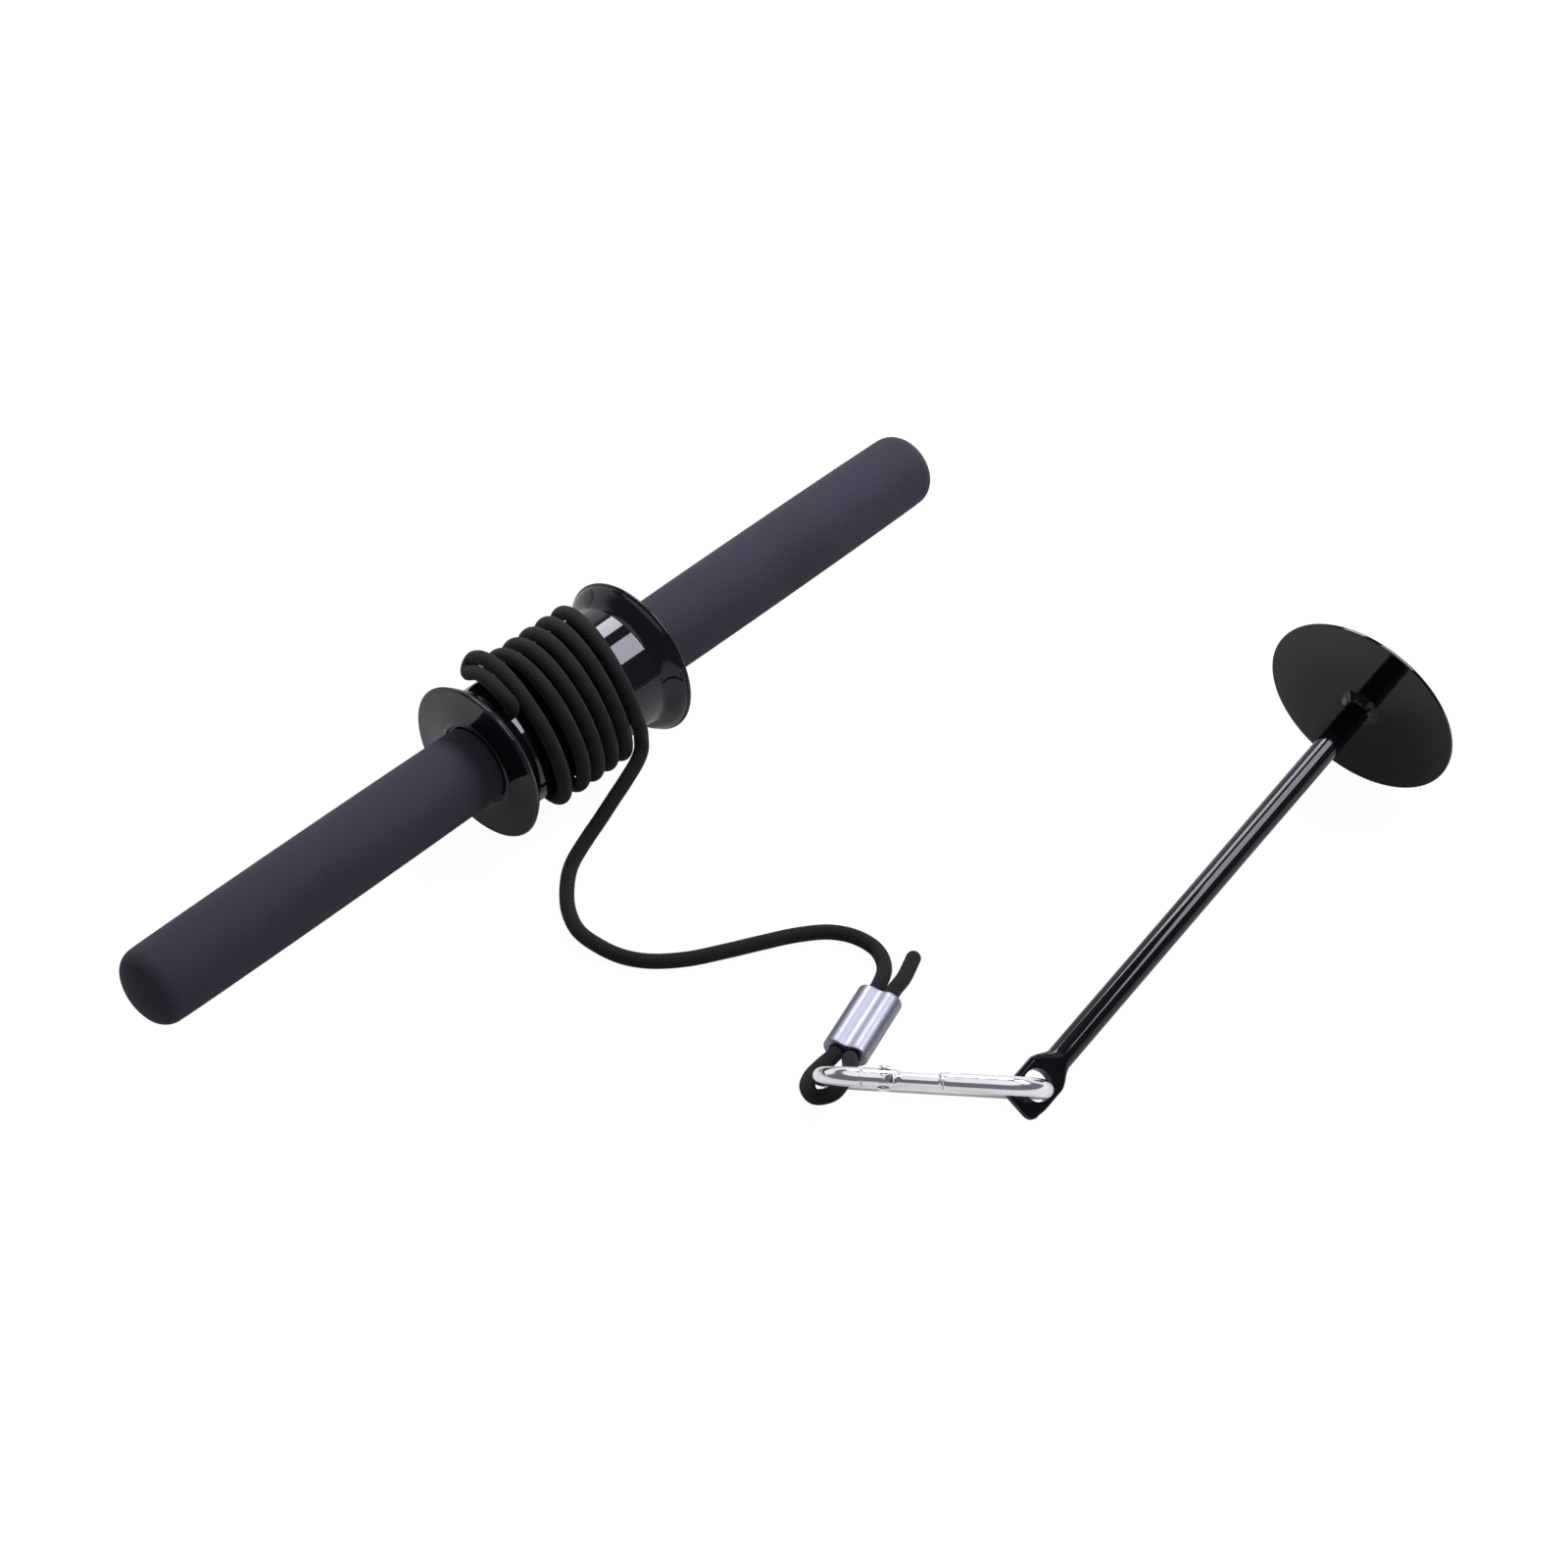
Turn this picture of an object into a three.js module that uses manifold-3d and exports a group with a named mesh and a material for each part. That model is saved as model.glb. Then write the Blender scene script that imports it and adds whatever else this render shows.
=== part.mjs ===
// Wrist roller: a bar with foam grips turns a spool, which winds a cord up. The cord carries a
// snap hook, and the hook carries a loading pin with a plate for weight discs.
// Millimetres, +Z up. The bar lies along X, and everything rests on the plane z = 0.
import * as THREE from 'three';
import { mergeVertices } from 'three/addons/utils/BufferGeometryUtils.js';
import Module from 'manifold-3d';

const wasm = await Module();
wasm.setup();

// Driving dimensions
const overallLength = 430.5;
const gripDiameter = 33;
const spoolLength = 86.6;
const flangeDiameter = 67.4;
const drumDiameter = 53;
const cordDiameter = 6;
const gap = 0.3;
const overrun = 1;
const weldTolerance = 1e-4;

// Tube, plugs and grips
const tubeDiameter = 25;
const tubeWall = 2;
const gripEndThickness = 6;
const gripEdgeRadius = 8;
const gripEndCrown = 2;
const gripBulge = 0.5;
const plugDepth = 18;
const plugWall = 2;
const plugFlangeThickness = 2;

// Spool
const drumWall = 3;
const flareLength = 8;
const rimRadius = 0.8;
const rimFaceThickness = 1.6;
const hubWall = 3.8;
const webThickness = 5;
const collarWall = 1.7;
const collarHeight = 0.8;
const bossRadius = 3.1;
const bossCount = 3;
const bossTurnDegrees = 30;
const screwRadius = 1.6;
const screwHeadRadius = 2.8;
const screwHeadHeight = 2.4;
const screwHeadDepth = 3;
const screwBite = 14;
const drivePinRadius = 2.5;

// Cord on the drum
const windingTurns = 5;
const windingPitch = 7.6;
const windingLean = 10.4;
const windingLeanLoss = 0.9;
const leanPhaseDegrees = -65;
const lastTurnX = 14.6;
const leaveDegrees = -78;
const anchorDegrees = 46;
const anchorRise = 4.6;
const anchorRiseDegrees = 80;
const anchorLegDegrees = 60;
const anchorLegRise = 0.6;
const anchorLegSpacing = 6.8;
const lastTurnSpread = 3.1;
const spreadStartDegrees = 300;
const spreadRampDegrees = 170;
const uTurnSteps = 6;
const diveSteps = 4;
const diveStraight = 1.2;
const stepsPerTurn = 24;
const windingSides = 6;
const knotRadius = 5.4;
const knotFlatShare = 0.5;
const knotSeatShare = 0.55;

// Sleeve on the cord
const ferruleLength = 31.4;
const ferruleWall = 1.6;
const ferruleSideWall = 2.6;
const ferruleWaistShare = 0.82;
const ferruleTopX = -8.6;
const ferruleTopY = -181.7;
const ferruleHeadingDegrees = 197;

// Snap hook, drawn flat in its own plane: x along it, y from the spine to the gate
const hookWire = 7.2;
const hookStraight = 54;
const hookBendRadius = 13.5;
const hookLeanDegrees = 51;
const hookHeadingDegrees = -51.5;
const hookPinDegrees = 61;
const hookAtPinX = -6.5;
const hookAtPinY = -257.5;
const stubX = 1;
const gatePivotX = 9.4;
const noseX = 31;
const gateBarDiameter = 5.4;
const gateShoulderLength = 0.9;
const tongueThickness = 3;
const latchTongueThickness = 2.4;
const latchTongueLength = 6.5;
const latchPinRadius = 1.1;
const latchPinLength = 5.6;
const latchPinInset = 4.2;
const rivetRadius = 1.4;
const rivetHeadRadius = 2.4;
const rivetHeadHeight = 0.9;
const rivetCrownShare = 0.6;
const springWire = 0.4;
const springDiameter = 2.2;
const springCurls = 9;
const springLength = 9;
const gateBoreRadius = 1.5;
const plungerLength = 3.4;
const plungerTipShare = 0.5;

// Loading pin and plate
const rodDiameter = 10;
const plateDiameter = 82.3;
const plateThickness = 1.5;
const plateEdge = 0.3;
const weldLeg = 2.4;
const weldHollowShare = 0.4;
const weldMargin = 1;
const pinReach = 221;
const pinHeadingDegrees = -175.4;
const bladeRollDegrees = 40;
const pinSideRest = 2;
const bladeWidth = 17.2;
const bladeEndWidth = 16;
const bladeCorner = 3.2;
const bladeThickness = 3.8;
const bladeHoleDiameter = 12.4;
const bladeEndMargin = 11.6;
const bladeNeck = 6;
const bladeShoulder = 9;
const bladeTaper = 8;
const bladeRootShare = 0.9;
const rodFlatShare = 0.6;

// Faces round each kind of piece, and steps along the curved ones
const flangeFaces = 48;
const tubeFaces = 36;
const gripFaces = 32;
const wireFaces = 12;
const smallFaces = 16;
const rodFaces = 20;
const forkFaces = 32;
const plateFaces = 64;
const hookArcSteps = 10;
const stepsPerCurl = 8;
const curlSides = 5;
const leadSteps = 46;
const leadSides = 8;
const loopSteps = 40;
const tailSteps = 6;
const cornerSteps = 3;

// Sizes worked out from those above
const radians = Math.PI / 180;
const cordRadius = cordDiameter / 2;
const drumRadius = drumDiameter / 2;
const flangeRadius = flangeDiameter / 2;
const gripRadius = gripDiameter / 2;
const tubeRadius = tubeDiameter / 2;
const hookRadius = hookWire / 2;
const spoolHalf = spoolLength / 2;
const axisHeight = flangeRadius * Math.cos(Math.PI / flangeFaces);
const windingRadius = (drumRadius + gap + cordRadius) / Math.cos(Math.PI / stepsPerTurn);
const hubBore = tubeRadius + gap;
const hubRadius = hubBore + hubWall;
const cavityDepth = spoolHalf - webThickness;
const bossPlace = (hubRadius + drumRadius - drumWall) / 2;
const gateLineY = 2 * hookBendRadius;

const steel = new THREE.MeshStandardMaterial({ color: 0x9a9a9e, roughness: 0.35, metalness: 1 });
const foam = new THREE.MeshStandardMaterial({ color: 0x37353f, roughness: 0.95, metalness: 0 });
const glossBlack = new THREE.MeshStandardMaterial({ color: 0x0b0b0e, roughness: 0.12, metalness: 0 });
const plugPlastic = new THREE.MeshStandardMaterial({ color: 0x202024, roughness: 0.6, metalness: 0 });
const cordFabric = new THREE.MeshStandardMaterial({ color: 0x1b1b1d, roughness: 0.9, metalness: 0 });
const aluminium = new THREE.MeshStandardMaterial({ color: 0xb9b7c9, roughness: 0.4, metalness: 1 });
const zinc = new THREE.MeshStandardMaterial({ color: 0xc9cbd6, roughness: 0.2, metalness: 1 });
const blackPaint = new THREE.MeshStandardMaterial({ color: 0x0c0c10, roughness: 0.18, metalness: 0 });

// Solids: conversion between three.js geometry and manifold
function toSolid(geometry) {
  const bare = geometry.index ? geometry.toNonIndexed() : geometry.clone();
  bare.deleteAttribute('normal');
  bare.deleteAttribute('uv');
  const merged = mergeVertices(bare, weldTolerance);
  const mesh = new wasm.Mesh({
    numProp: 3,
    vertProperties: new Float32Array(merged.attributes.position.array),
    triVerts: new Uint32Array(merged.index.array),
  });
  return new wasm.Manifold(mesh);
}

function toGeometry(solid) {
  const mesh = solid.getMesh();
  const geometry = new THREE.BufferGeometry();
  geometry.setAttribute('position', new THREE.BufferAttribute(mesh.vertProperties, 3));
  geometry.setIndex(new THREE.BufferAttribute(mesh.triVerts, 1));
  return geometry;
}

function solidUnion(solids) {
  return solids.reduce((sum, solid) => sum.add(solid));
}

// A turned shape about the X axis, from points given as [distance along X, radius]
function turnedAlongX(profile, faces) {
  const points = profile.map(([along, radius]) => new THREE.Vector2(radius, along));
  const geometry = new THREE.LatheGeometry(points, faces, Math.PI / faces);
  return geometry.rotateZ(-Math.PI / 2);
}

// A plain cylinder between two distances on the X axis
function cylinderAlongX(radius, from, to, faces) {
  const geometry = new THREE.CylinderGeometry(radius, radius, to - from, faces);
  geometry.rotateZ(-Math.PI / 2);
  return geometry.translate((from + to) / 2, 0, 0);
}

// A plain cylinder between two heights, its axis along Z
function cylinderAlongZ(radius, from, to, faces) {
  const geometry = new THREE.CylinderGeometry(radius, radius, to - from, faces);
  geometry.rotateX(Math.PI / 2);
  return geometry.translate(0, 0, (from + to) / 2);
}

function box(from, to) {
  const geometry = new THREE.BoxGeometry(to[0] - from[0], to[1] - from[1], to[2] - from[2]);
  return geometry.translate((from[0] + to[0]) / 2, (from[1] + to[1]) / 2, (from[2] + to[2]) / 2);
}

// A round section with a flat side at the bottom, for extruding along a path
function circleShape(radius, sides) {
  const shape = new THREE.Shape();
  for (let side = 0; side < sides; side += 1) {
    const angle = (2 * Math.PI * (side + 0.5)) / sides;
    const place = [radius * Math.cos(angle), radius * Math.sin(angle)];
    if (side === 0) shape.moveTo(...place);
    else shape.lineTo(...place);
  }
  shape.closePath();
  return shape;
}

// A tube along a smooth curve through the points
function cordTube(points, steps, sides) {
  const path = new THREE.CatmullRomCurve3(points, false, 'centripetal');
  const options = { steps, bevelEnabled: false, extrudePath: path };
  return new THREE.ExtrudeGeometry(circleShape(cordRadius, sides), options);
}

// A tube through the points themselves, closed by flat ends. The corners of the section are
// counted from a direction, which is carried along the tube without twist.
function ringTube(points, radius, sides, firstUp) {
  const corners = [];
  const faces = [];
  const up = firstUp.clone();
  points.forEach((point, index) => {
    const before = points[Math.max(index - 1, 0)];
    const after = points[Math.min(index + 1, points.length - 1)];
    const tangent = after.clone().sub(before).normalize();
    up.addScaledVector(tangent, -up.dot(tangent)).normalize();
    const side = new THREE.Vector3().crossVectors(tangent, up);
    for (let corner = 0; corner < sides; corner += 1) {
      const angle = (2 * Math.PI * (corner + 0.5)) / sides;
      const spot = point.clone();
      spot.addScaledVector(up, radius * Math.cos(angle));
      spot.addScaledVector(side, radius * Math.sin(angle));
      corners.push(spot.x, spot.y, spot.z);
    }
  });
  for (let ring = 0; ring + 1 < points.length; ring += 1) {
    for (let corner = 0; corner < sides; corner += 1) {
      const here = ring * sides + corner;
      const next = ring * sides + ((corner + 1) % sides);
      faces.push(here, next, here + sides);
      faces.push(next, next + sides, here + sides);
    }
  }
  const last = (points.length - 1) * sides;
  for (let corner = 1; corner + 1 < sides; corner += 1) {
    faces.push(0, corner + 1, corner);
    faces.push(last, last + corner, last + corner + 1);
  }
  const geometry = new THREE.BufferGeometry();
  geometry.setAttribute('position', new THREE.Float32BufferAttribute(corners, 3));
  geometry.setIndex(faces);
  return geometry;
}

function meshOf(name, geometry, material) {
  const mesh = new THREE.Mesh(geometry, material);
  mesh.name = name;
  return mesh;
}

// The least distance between stretches of a tube's middle line that are far apart along it
function leastSelfDistance(points, apart) {
  const lengths = [0];
  for (let index = 1; index < points.length; index += 1) {
    lengths.push(lengths[index - 1] + points[index].distanceTo(points[index - 1]));
  }
  let least = Infinity;
  for (let first = 0; first < points.length; first += 1) {
    for (let second = first + 1; second < points.length; second += 1) {
      if (lengths[second] - lengths[first] < apart) continue;
      least = Math.min(least, points[first].distanceTo(points[second]));
    }
  }
  return least;
}

// Bar: tube, end plugs and foam grips
const tubeHalf = overallLength / 2 - gripEndThickness - plugFlangeThickness - gap;

function barTube() {
  const inner = tubeRadius - tubeWall;
  const profile = [[-tubeHalf, inner], [-tubeHalf, tubeRadius], [tubeHalf, tubeRadius],
    [tubeHalf, inner], [-tubeHalf, inner]];
  const tube = toSolid(turnedAlongX(profile, tubeFaces));
  const reach = tubeRadius + overrun;
  const hole = cylinderAlongZ(drivePinRadius + gap, -reach, reach, smallFaces);
  return toGeometry(tube.subtract(toSolid(hole)));
}

function tubePlug() {
  const face = tubeHalf + plugFlangeThickness;
  const outer = tubeRadius - tubeWall - gap;
  const seat = tubeHalf + gap;
  const bottom = tubeHalf - plugDepth;
  const profile = [[face, 0], [face, tubeRadius], [seat, tubeRadius], [seat, outer],
    [bottom, outer], [bottom, outer - plugWall], [seat, outer - plugWall], [seat, 0]];
  return turnedAlongX(profile.reverse(), tubeFaces);
}

function grip() {
  const start = spoolHalf + gap;
  const end = overallLength / 2;
  const bore = tubeRadius + gap;
  const inner = end - gripEndThickness + gap;
  const edgeShares = [0, 0.25, 0.5, 0.75, 1];
  const profile = [[start, bore], [start, gripRadius - gripBulge]];
  const middle = (start + end - gripEdgeRadius) / 2;
  profile.push([middle, gripRadius]);
  for (const share of edgeShares) {
    const angle = share * Math.PI / 2;
    const inward = gripEdgeRadius * (1 - Math.cos(angle));
    const along = end - gripEndCrown - gripEdgeRadius * (1 - Math.sin(angle));
    profile.push([along, gripRadius - gripBulge - inward]);
  }
  const crownShare = 0.5;
  const faceRadius = gripRadius - gripBulge - gripEdgeRadius;
  profile.push([end - gripEndCrown * crownShare ** 2, faceRadius * crownShare]);
  profile.push([end, 0], [inner, 0], [inner, bore], [start, bore]);
  return turnedAlongX(profile, gripFaces);
}

// Spool: two moulded halves that meet at x = 0
function spoolProfile() {
  const face = gap / 2;
  const cavity = drumRadius - drumWall;
  const flareStart = spoolHalf - flareLength - rimFaceThickness;
  const flareEnd = spoolHalf - rimFaceThickness;
  const profile = [[face, hubBore], [face, hubRadius], [cavityDepth, hubRadius],
    [cavityDepth, cavity], [face, cavity], [face, drumRadius], [flareStart, drumRadius]];
  const flareShares = [0.2, 0.35, 0.5, 0.65, 0.8, 1];
  for (const share of flareShares) {
    const rise = share * share * (3 - 2 * share);
    const lifted = drumRadius + (flangeRadius - rimRadius - drumRadius) * rise;
    profile.push([flareStart + (flareEnd - flareStart) * share, lifted]);
  }
  const collarInner = gripRadius + gap;
  profile.push([flareEnd + rimFaceThickness / 2, flangeRadius]);
  profile.push([spoolHalf - rimRadius / 2, flangeRadius - rimRadius / 2]);
  profile.push([spoolHalf, flangeRadius - rimRadius * 2]);
  profile.push([spoolHalf, collarInner + collarWall]);
  profile.push([spoolHalf + collarHeight, collarInner + collarWall - collarHeight / 2]);
  profile.push([spoolHalf + collarHeight, collarInner]);
  profile.push([spoolHalf, collarInner], [spoolHalf, hubBore], [face, hubBore]);
  return profile;
}

function bossSpots() {
  const spots = [];
  for (let index = 0; index < bossCount; index += 1) {
    const angle = bossTurnDegrees * radians + (2 * Math.PI * index) / bossCount;
    spots.push([bossPlace * Math.cos(angle), bossPlace * Math.sin(angle)]);
  }
  return spots;
}

function anchorHole(radius, from, to) {
  const hole = cylinderAlongZ(radius, from, to, smallFaces);
  hole.rotateX(-anchorEndAngle);
  return hole.translate(anchorX, 0, 0);
}

function spoolHalfShell(side) {
  let shell = toSolid(turnedAlongX(spoolProfile(), flangeFaces));
  const face = gap / 2;
  for (const [across, up] of bossSpots()) {
    const boss = cylinderAlongX(bossRadius, face, cavityDepth + overrun, smallFaces);
    shell = shell.add(toSolid(boss.translate(0, across, up)));
  }
  const bore = cylinderAlongX(hubBore, -overrun, spoolHalf + overrun, tubeFaces);
  shell = shell.subtract(toSolid(bore.rotateX(Math.PI / tubeFaces)));
  for (const [across, up] of bossSpots()) {
    const far = side > 0 ? spoolHalf + overrun : screwBite + overrun;
    const hole = cylinderAlongX(screwRadius + gap, -overrun, far, smallFaces);
    shell = shell.subtract(toSolid(hole.translate(0, across, up)));
    if (side > 0) {
      const headSeat = spoolHalf - screwHeadDepth - gap;
      const sink = cylinderAlongX(screwHeadRadius + gap, headSeat, spoolHalf + overrun, smallFaces);
      shell = shell.subtract(toSolid(sink.translate(0, across, up)));
    }
  }
  const pinSlot = cylinderAlongZ(drivePinRadius + gap, -hubRadius, hubRadius, smallFaces);
  shell = shell.subtract(toSolid(pinSlot));
  if (side < 0) {
    shell = shell.mirror([1, 0, 0]);
    const cut = anchorHole(cordRadius + gap, hubRadius + gap, flangeRadius);
    shell = shell.subtract(toSolid(cut));
  }
  return toGeometry(shell);
}

function spoolScrew([across, up]) {
  const head = spoolHalf - screwHeadDepth;
  const profile = [[-screwBite, 0], [-screwBite + screwRadius, screwRadius], [head, screwRadius],
    [head, screwHeadRadius], [head + screwHeadHeight, screwHeadRadius],
    [head + screwHeadHeight, 0]];
  return turnedAlongX(profile, smallFaces).translate(0, across, up);
}

function drivePin() {
  const half = hubRadius - gap;
  return cylinderAlongZ(drivePinRadius, -half, half, smallFaces);
}

// Cord on the drum. Angles are counted from the top of the drum, positive to the back.
const lastDegrees = 360 * windingTurns + anchorDegrees;

function windingX(degrees) {
  const past = degrees - leanPhaseDegrees;
  const turns = past / 360;
  const spreadFrom = lastDegrees - spreadStartDegrees;
  const spreadTo = spreadFrom + spreadRampDegrees;
  const spread = lastTurnSpread * THREE.MathUtils.smoothstep(degrees, spreadFrom, spreadTo);
  const lean = windingLean - windingLeanLoss * turns + spread / 2;
  return lastTurnX - windingPitch * turns - spread + lean * (1 - Math.cos(past * radians));
}

function windingLift(degrees) {
  return anchorRise * THREE.MathUtils.smoothstep(degrees, lastDegrees - anchorRiseDegrees, lastDegrees);
}

// The cord's end turns back at the last turn's end and runs under it, beside it, to its hole
const legRadius = windingRadius + anchorLegRise;
const legEndDegrees = lastDegrees - anchorLegDegrees;
const diveRadius = legRadius - drumRadius - gap - diveStraight;

function legX(degrees) {
  const rise = windingLift(degrees) - anchorLegRise;
  return windingX(degrees) - Math.sqrt(anchorLegSpacing ** 2 - rise ** 2);
}

const anchorX = legX(legEndDegrees);
const anchorEndAngle = legEndDegrees * radians - diveRadius / drumRadius;

function onDrum(along, radius, angle) {
  return new THREE.Vector3(along, radius * Math.sin(angle), radius * Math.cos(angle));
}

function windingPoints() {
  const points = [];
  const stepDegrees = 360 / stepsPerTurn;
  for (let degrees = leaveDegrees; degrees < lastDegrees; degrees += stepDegrees) {
    const radius = windingRadius + windingLift(degrees);
    points.push(onDrum(windingX(degrees), radius, degrees * radians));
  }
  const out = points[0].clone().sub(points[1]).normalize();
  points.unshift(points[0].clone().addScaledVector(out, cordDiameter));
  return [...points, ...anchorPoints()];
}

// The cord's end: half a circle back, the leg under the last turn, and a quarter circle down
function anchorPoints() {
  const lastAngle = lastDegrees * radians;
  const top = onDrum(windingX(lastDegrees), windingRadius + anchorRise, lastAngle);
  const low = onDrum(legX(lastDegrees), legRadius, lastAngle);
  const middle = top.clone().add(low).divideScalar(2);
  const half = top.clone().sub(middle);
  const onward = new THREE.Vector3(0, Math.cos(lastAngle), -Math.sin(lastAngle));
  const points = [];
  for (let step = 0; step <= uTurnSteps; step += 1) {
    const turn = (Math.PI * step) / uTurnSteps;
    const point = middle.clone().addScaledVector(half, Math.cos(turn));
    points.push(point.addScaledVector(onward, half.length() * Math.sin(turn)));
  }
  const stepDegrees = 360 / stepsPerTurn;
  for (let degrees = lastDegrees - stepDegrees; degrees >= legEndDegrees; degrees -= stepDegrees) {
    points.push(onDrum(legX(degrees), legRadius, degrees * radians));
  }
  const legEndAngle = legEndDegrees * radians;
  for (let step = 1; step <= diveSteps; step += 1) {
    const turn = (Math.PI * step) / (2 * diveSteps);
    const back = (diveRadius * Math.sin(turn)) / drumRadius;
    const radius = legRadius - diveRadius * (1 - Math.cos(turn));
    points.push(onDrum(anchorX, radius, legEndAngle - back));
  }
  points.push(onDrum(anchorX, drumRadius + gap, anchorEndAngle));
  return points;
}

const windingRoute = windingPoints();

function cordKnot() {
  const top = drumRadius;
  const knotMiddle = drumRadius - drumWall - gap - knotRadius * knotSeatShare;
  const stub = anchorHole(cordRadius, knotMiddle, top);
  const ball = new THREE.SphereGeometry(1, smallFaces, smallFaces / 2);
  ball.rotateX(Math.PI / 2);
  ball.scale(knotRadius, knotRadius, knotRadius * knotFlatShare);
  ball.translate(0, 0, knotMiddle);
  ball.rotateX(-anchorEndAngle);
  ball.translate(anchorX, 0, 0);
  return toGeometry(toSolid(stub).add(toSolid(ball)));
}

// Free cord: the lead's route from the drum to the sleeve, chosen by hand from the photograph
function routePoints(places) {
  return places.map((place) => new THREE.Vector3(...place));
}

const leadStart = windingRoute[0].clone();
leadStart.z += axisHeight;
const leadOut = windingRoute[0].clone().sub(windingRoute[1]).normalize();

const ferruleAlong = new THREE.Vector3(
  Math.cos(ferruleHeadingDegrees * radians),
  Math.sin(ferruleHeadingDegrees * radians),
  0,
);
const ferruleAcross = new THREE.Vector3(ferruleAlong.y, -ferruleAlong.x, 0);
const lobeOffset = cordRadius + gap / 2;
const ferruleRadius = cordRadius + gap + ferruleWall;
const ferruleTop = new THREE.Vector3(ferruleTopX, ferruleTopY, ferruleRadius);

// A place beside the sleeve: along it, across it and up, from the middle of its top end
function besideFerrule(along, across, up) {
  const place = ferruleTop.clone();
  place.addScaledVector(ferruleAlong, along);
  place.addScaledVector(ferruleAcross, across);
  place.z += up;
  return place;
}

function leadRoute() {
  const start = [leadStart.clone().addScaledVector(leadOut, gap)];
  start.push(leadStart.clone().addScaledVector(leadOut, cordDiameter / 2));
  const middle = routePoints([
    [16.8, -31.1, 26.4], [15.6, -32.2, 21.4], [11.9, -33.6, 18.6], [4, -35, 14.6],
    [-5.6, -36.6, 10.8], [-14.8, -38.2, 7.2], [-24, -40, 4.4], [-36.9, -44.8, 3.1],
    [-46.9, -52.4, 3.1], [-55.4, -62, 3.1], [-60.3, -72.3, 3.1], [-60.7, -83.3, 3.1],
    [-58.6, -94, 3.1], [-53.3, -103.4, 3.1], [-42.9, -113.1, 3.1], [-30.1, -120.9, 3.1],
    [-16.9, -128.2, 3.1], [-4.1, -135.8, 3.1], [5.2, -143.8, 3.1], [9.8, -152.8, 3.1],
    [10, -163.2, 3.3], [4.6, -172, 4],
  ]);
  const end = [besideFerrule(-cordDiameter, lobeOffset, 0), besideFerrule(-gap, lobeOffset, 0)];
  return [...start, ...middle, ...end];
}

function tailRoute() {
  const root = [besideFerrule(-gap, -lobeOffset, 0), besideFerrule(-cordDiameter, -lobeOffset, 0)];
  return [...root, ...routePoints([[5.4, -181, 3.9], [19, -175.2, 3.1]])];
}

function loopRoute() {
  const side = lobeOffset;
  const end = ferruleLength;
  const left = [[0, side, 0], [end / 2, side, 0], [end, side, 0], [end + 1, side, 0]];
  const eye = [[end + 4, 3.5, 0.1], [end + 10, 5, 0.4], [end + 16.7, 5.7, 1.2],
    [end + 22.6, 4.3, 2.3], [end + 26.9, -0.9, 4], [end + 24.6, -6.6, 6.2],
    [end + 18.2, -8, 7.6], [end + 11.6, -7.2, 7], [end + 6, -4.7, 4.8], [end + 3.2, -3.5, 1.5]];
  const right = [[end + 1, -side, 0], [end, -side, 0], [end / 2, -side, 0], [0, -side, 0]];
  return [...left, ...eye, ...right].map((place) => besideFerrule(...place));
}

function ferrule() {
  const outer = lobeOffset + ferruleSideWall - ferruleWall;
  const lobes = [outer, -outer].map((across) => {
    const lobe = cylinderAlongX(ferruleRadius, 0, ferruleLength, rodFaces);
    return toSolid(lobe.rotateX(Math.PI / rodFaces).translate(0, across, 0));
  });
  const waist = ferruleRadius * ferruleWaistShare;
  lobes.push(toSolid(box([0, -outer, -waist], [ferruleLength, outer, waist])));
  const bores = [lobeOffset, -lobeOffset].map((across) => {
    const bore = cylinderAlongX(cordRadius + gap, -overrun, ferruleLength + overrun, smallFaces);
    return toSolid(bore.translate(0, across, 0));
  });
  const geometry = toGeometry(solidUnion(lobes).subtract(solidUnion(bores)));
  geometry.applyMatrix4(new THREE.Matrix4().makeBasis(
    ferruleAlong, ferruleAcross.clone().negate(), new THREE.Vector3(0, 0, 1),
  ));
  return geometry.translate(ferruleTop.x, ferruleTop.y, ferruleTop.z);
}

// Snap hook, in its own plane
function hookPath() {
  const points = [new THREE.Vector3(noseX, gateLineY, 0)];
  for (let step = 0; step <= hookArcSteps; step += 1) {
    const angle = Math.PI / 2 - (Math.PI * step) / hookArcSteps;
    points.push(new THREE.Vector3(hookStraight + hookBendRadius * Math.cos(angle),
      hookBendRadius + hookBendRadius * Math.sin(angle), 0));
  }
  for (let step = 0; step <= hookArcSteps; step += 1) {
    const angle = -Math.PI / 2 - (Math.PI * step) / hookArcSteps;
    points.push(new THREE.Vector3(hookBendRadius * Math.cos(angle),
      hookBendRadius + hookBendRadius * Math.sin(angle), 0));
  }
  points.push(new THREE.Vector3(stubX, gateLineY, 0));
  return points;
}

const forkRadius = hookRadius;
const tongueEndRadius = forkRadius - gap;
const gateSlotEnd = gatePivotX + tongueEndRadius + gap;
const gateTailRadius = gatePivotX - stubX - gap;
const latchX = noseX + latchPinInset;
const gateBarStart = gateSlotEnd + overrun;

function atGateLine(geometry) {
  return toSolid(geometry.translate(0, gateLineY, 0));
}

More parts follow.
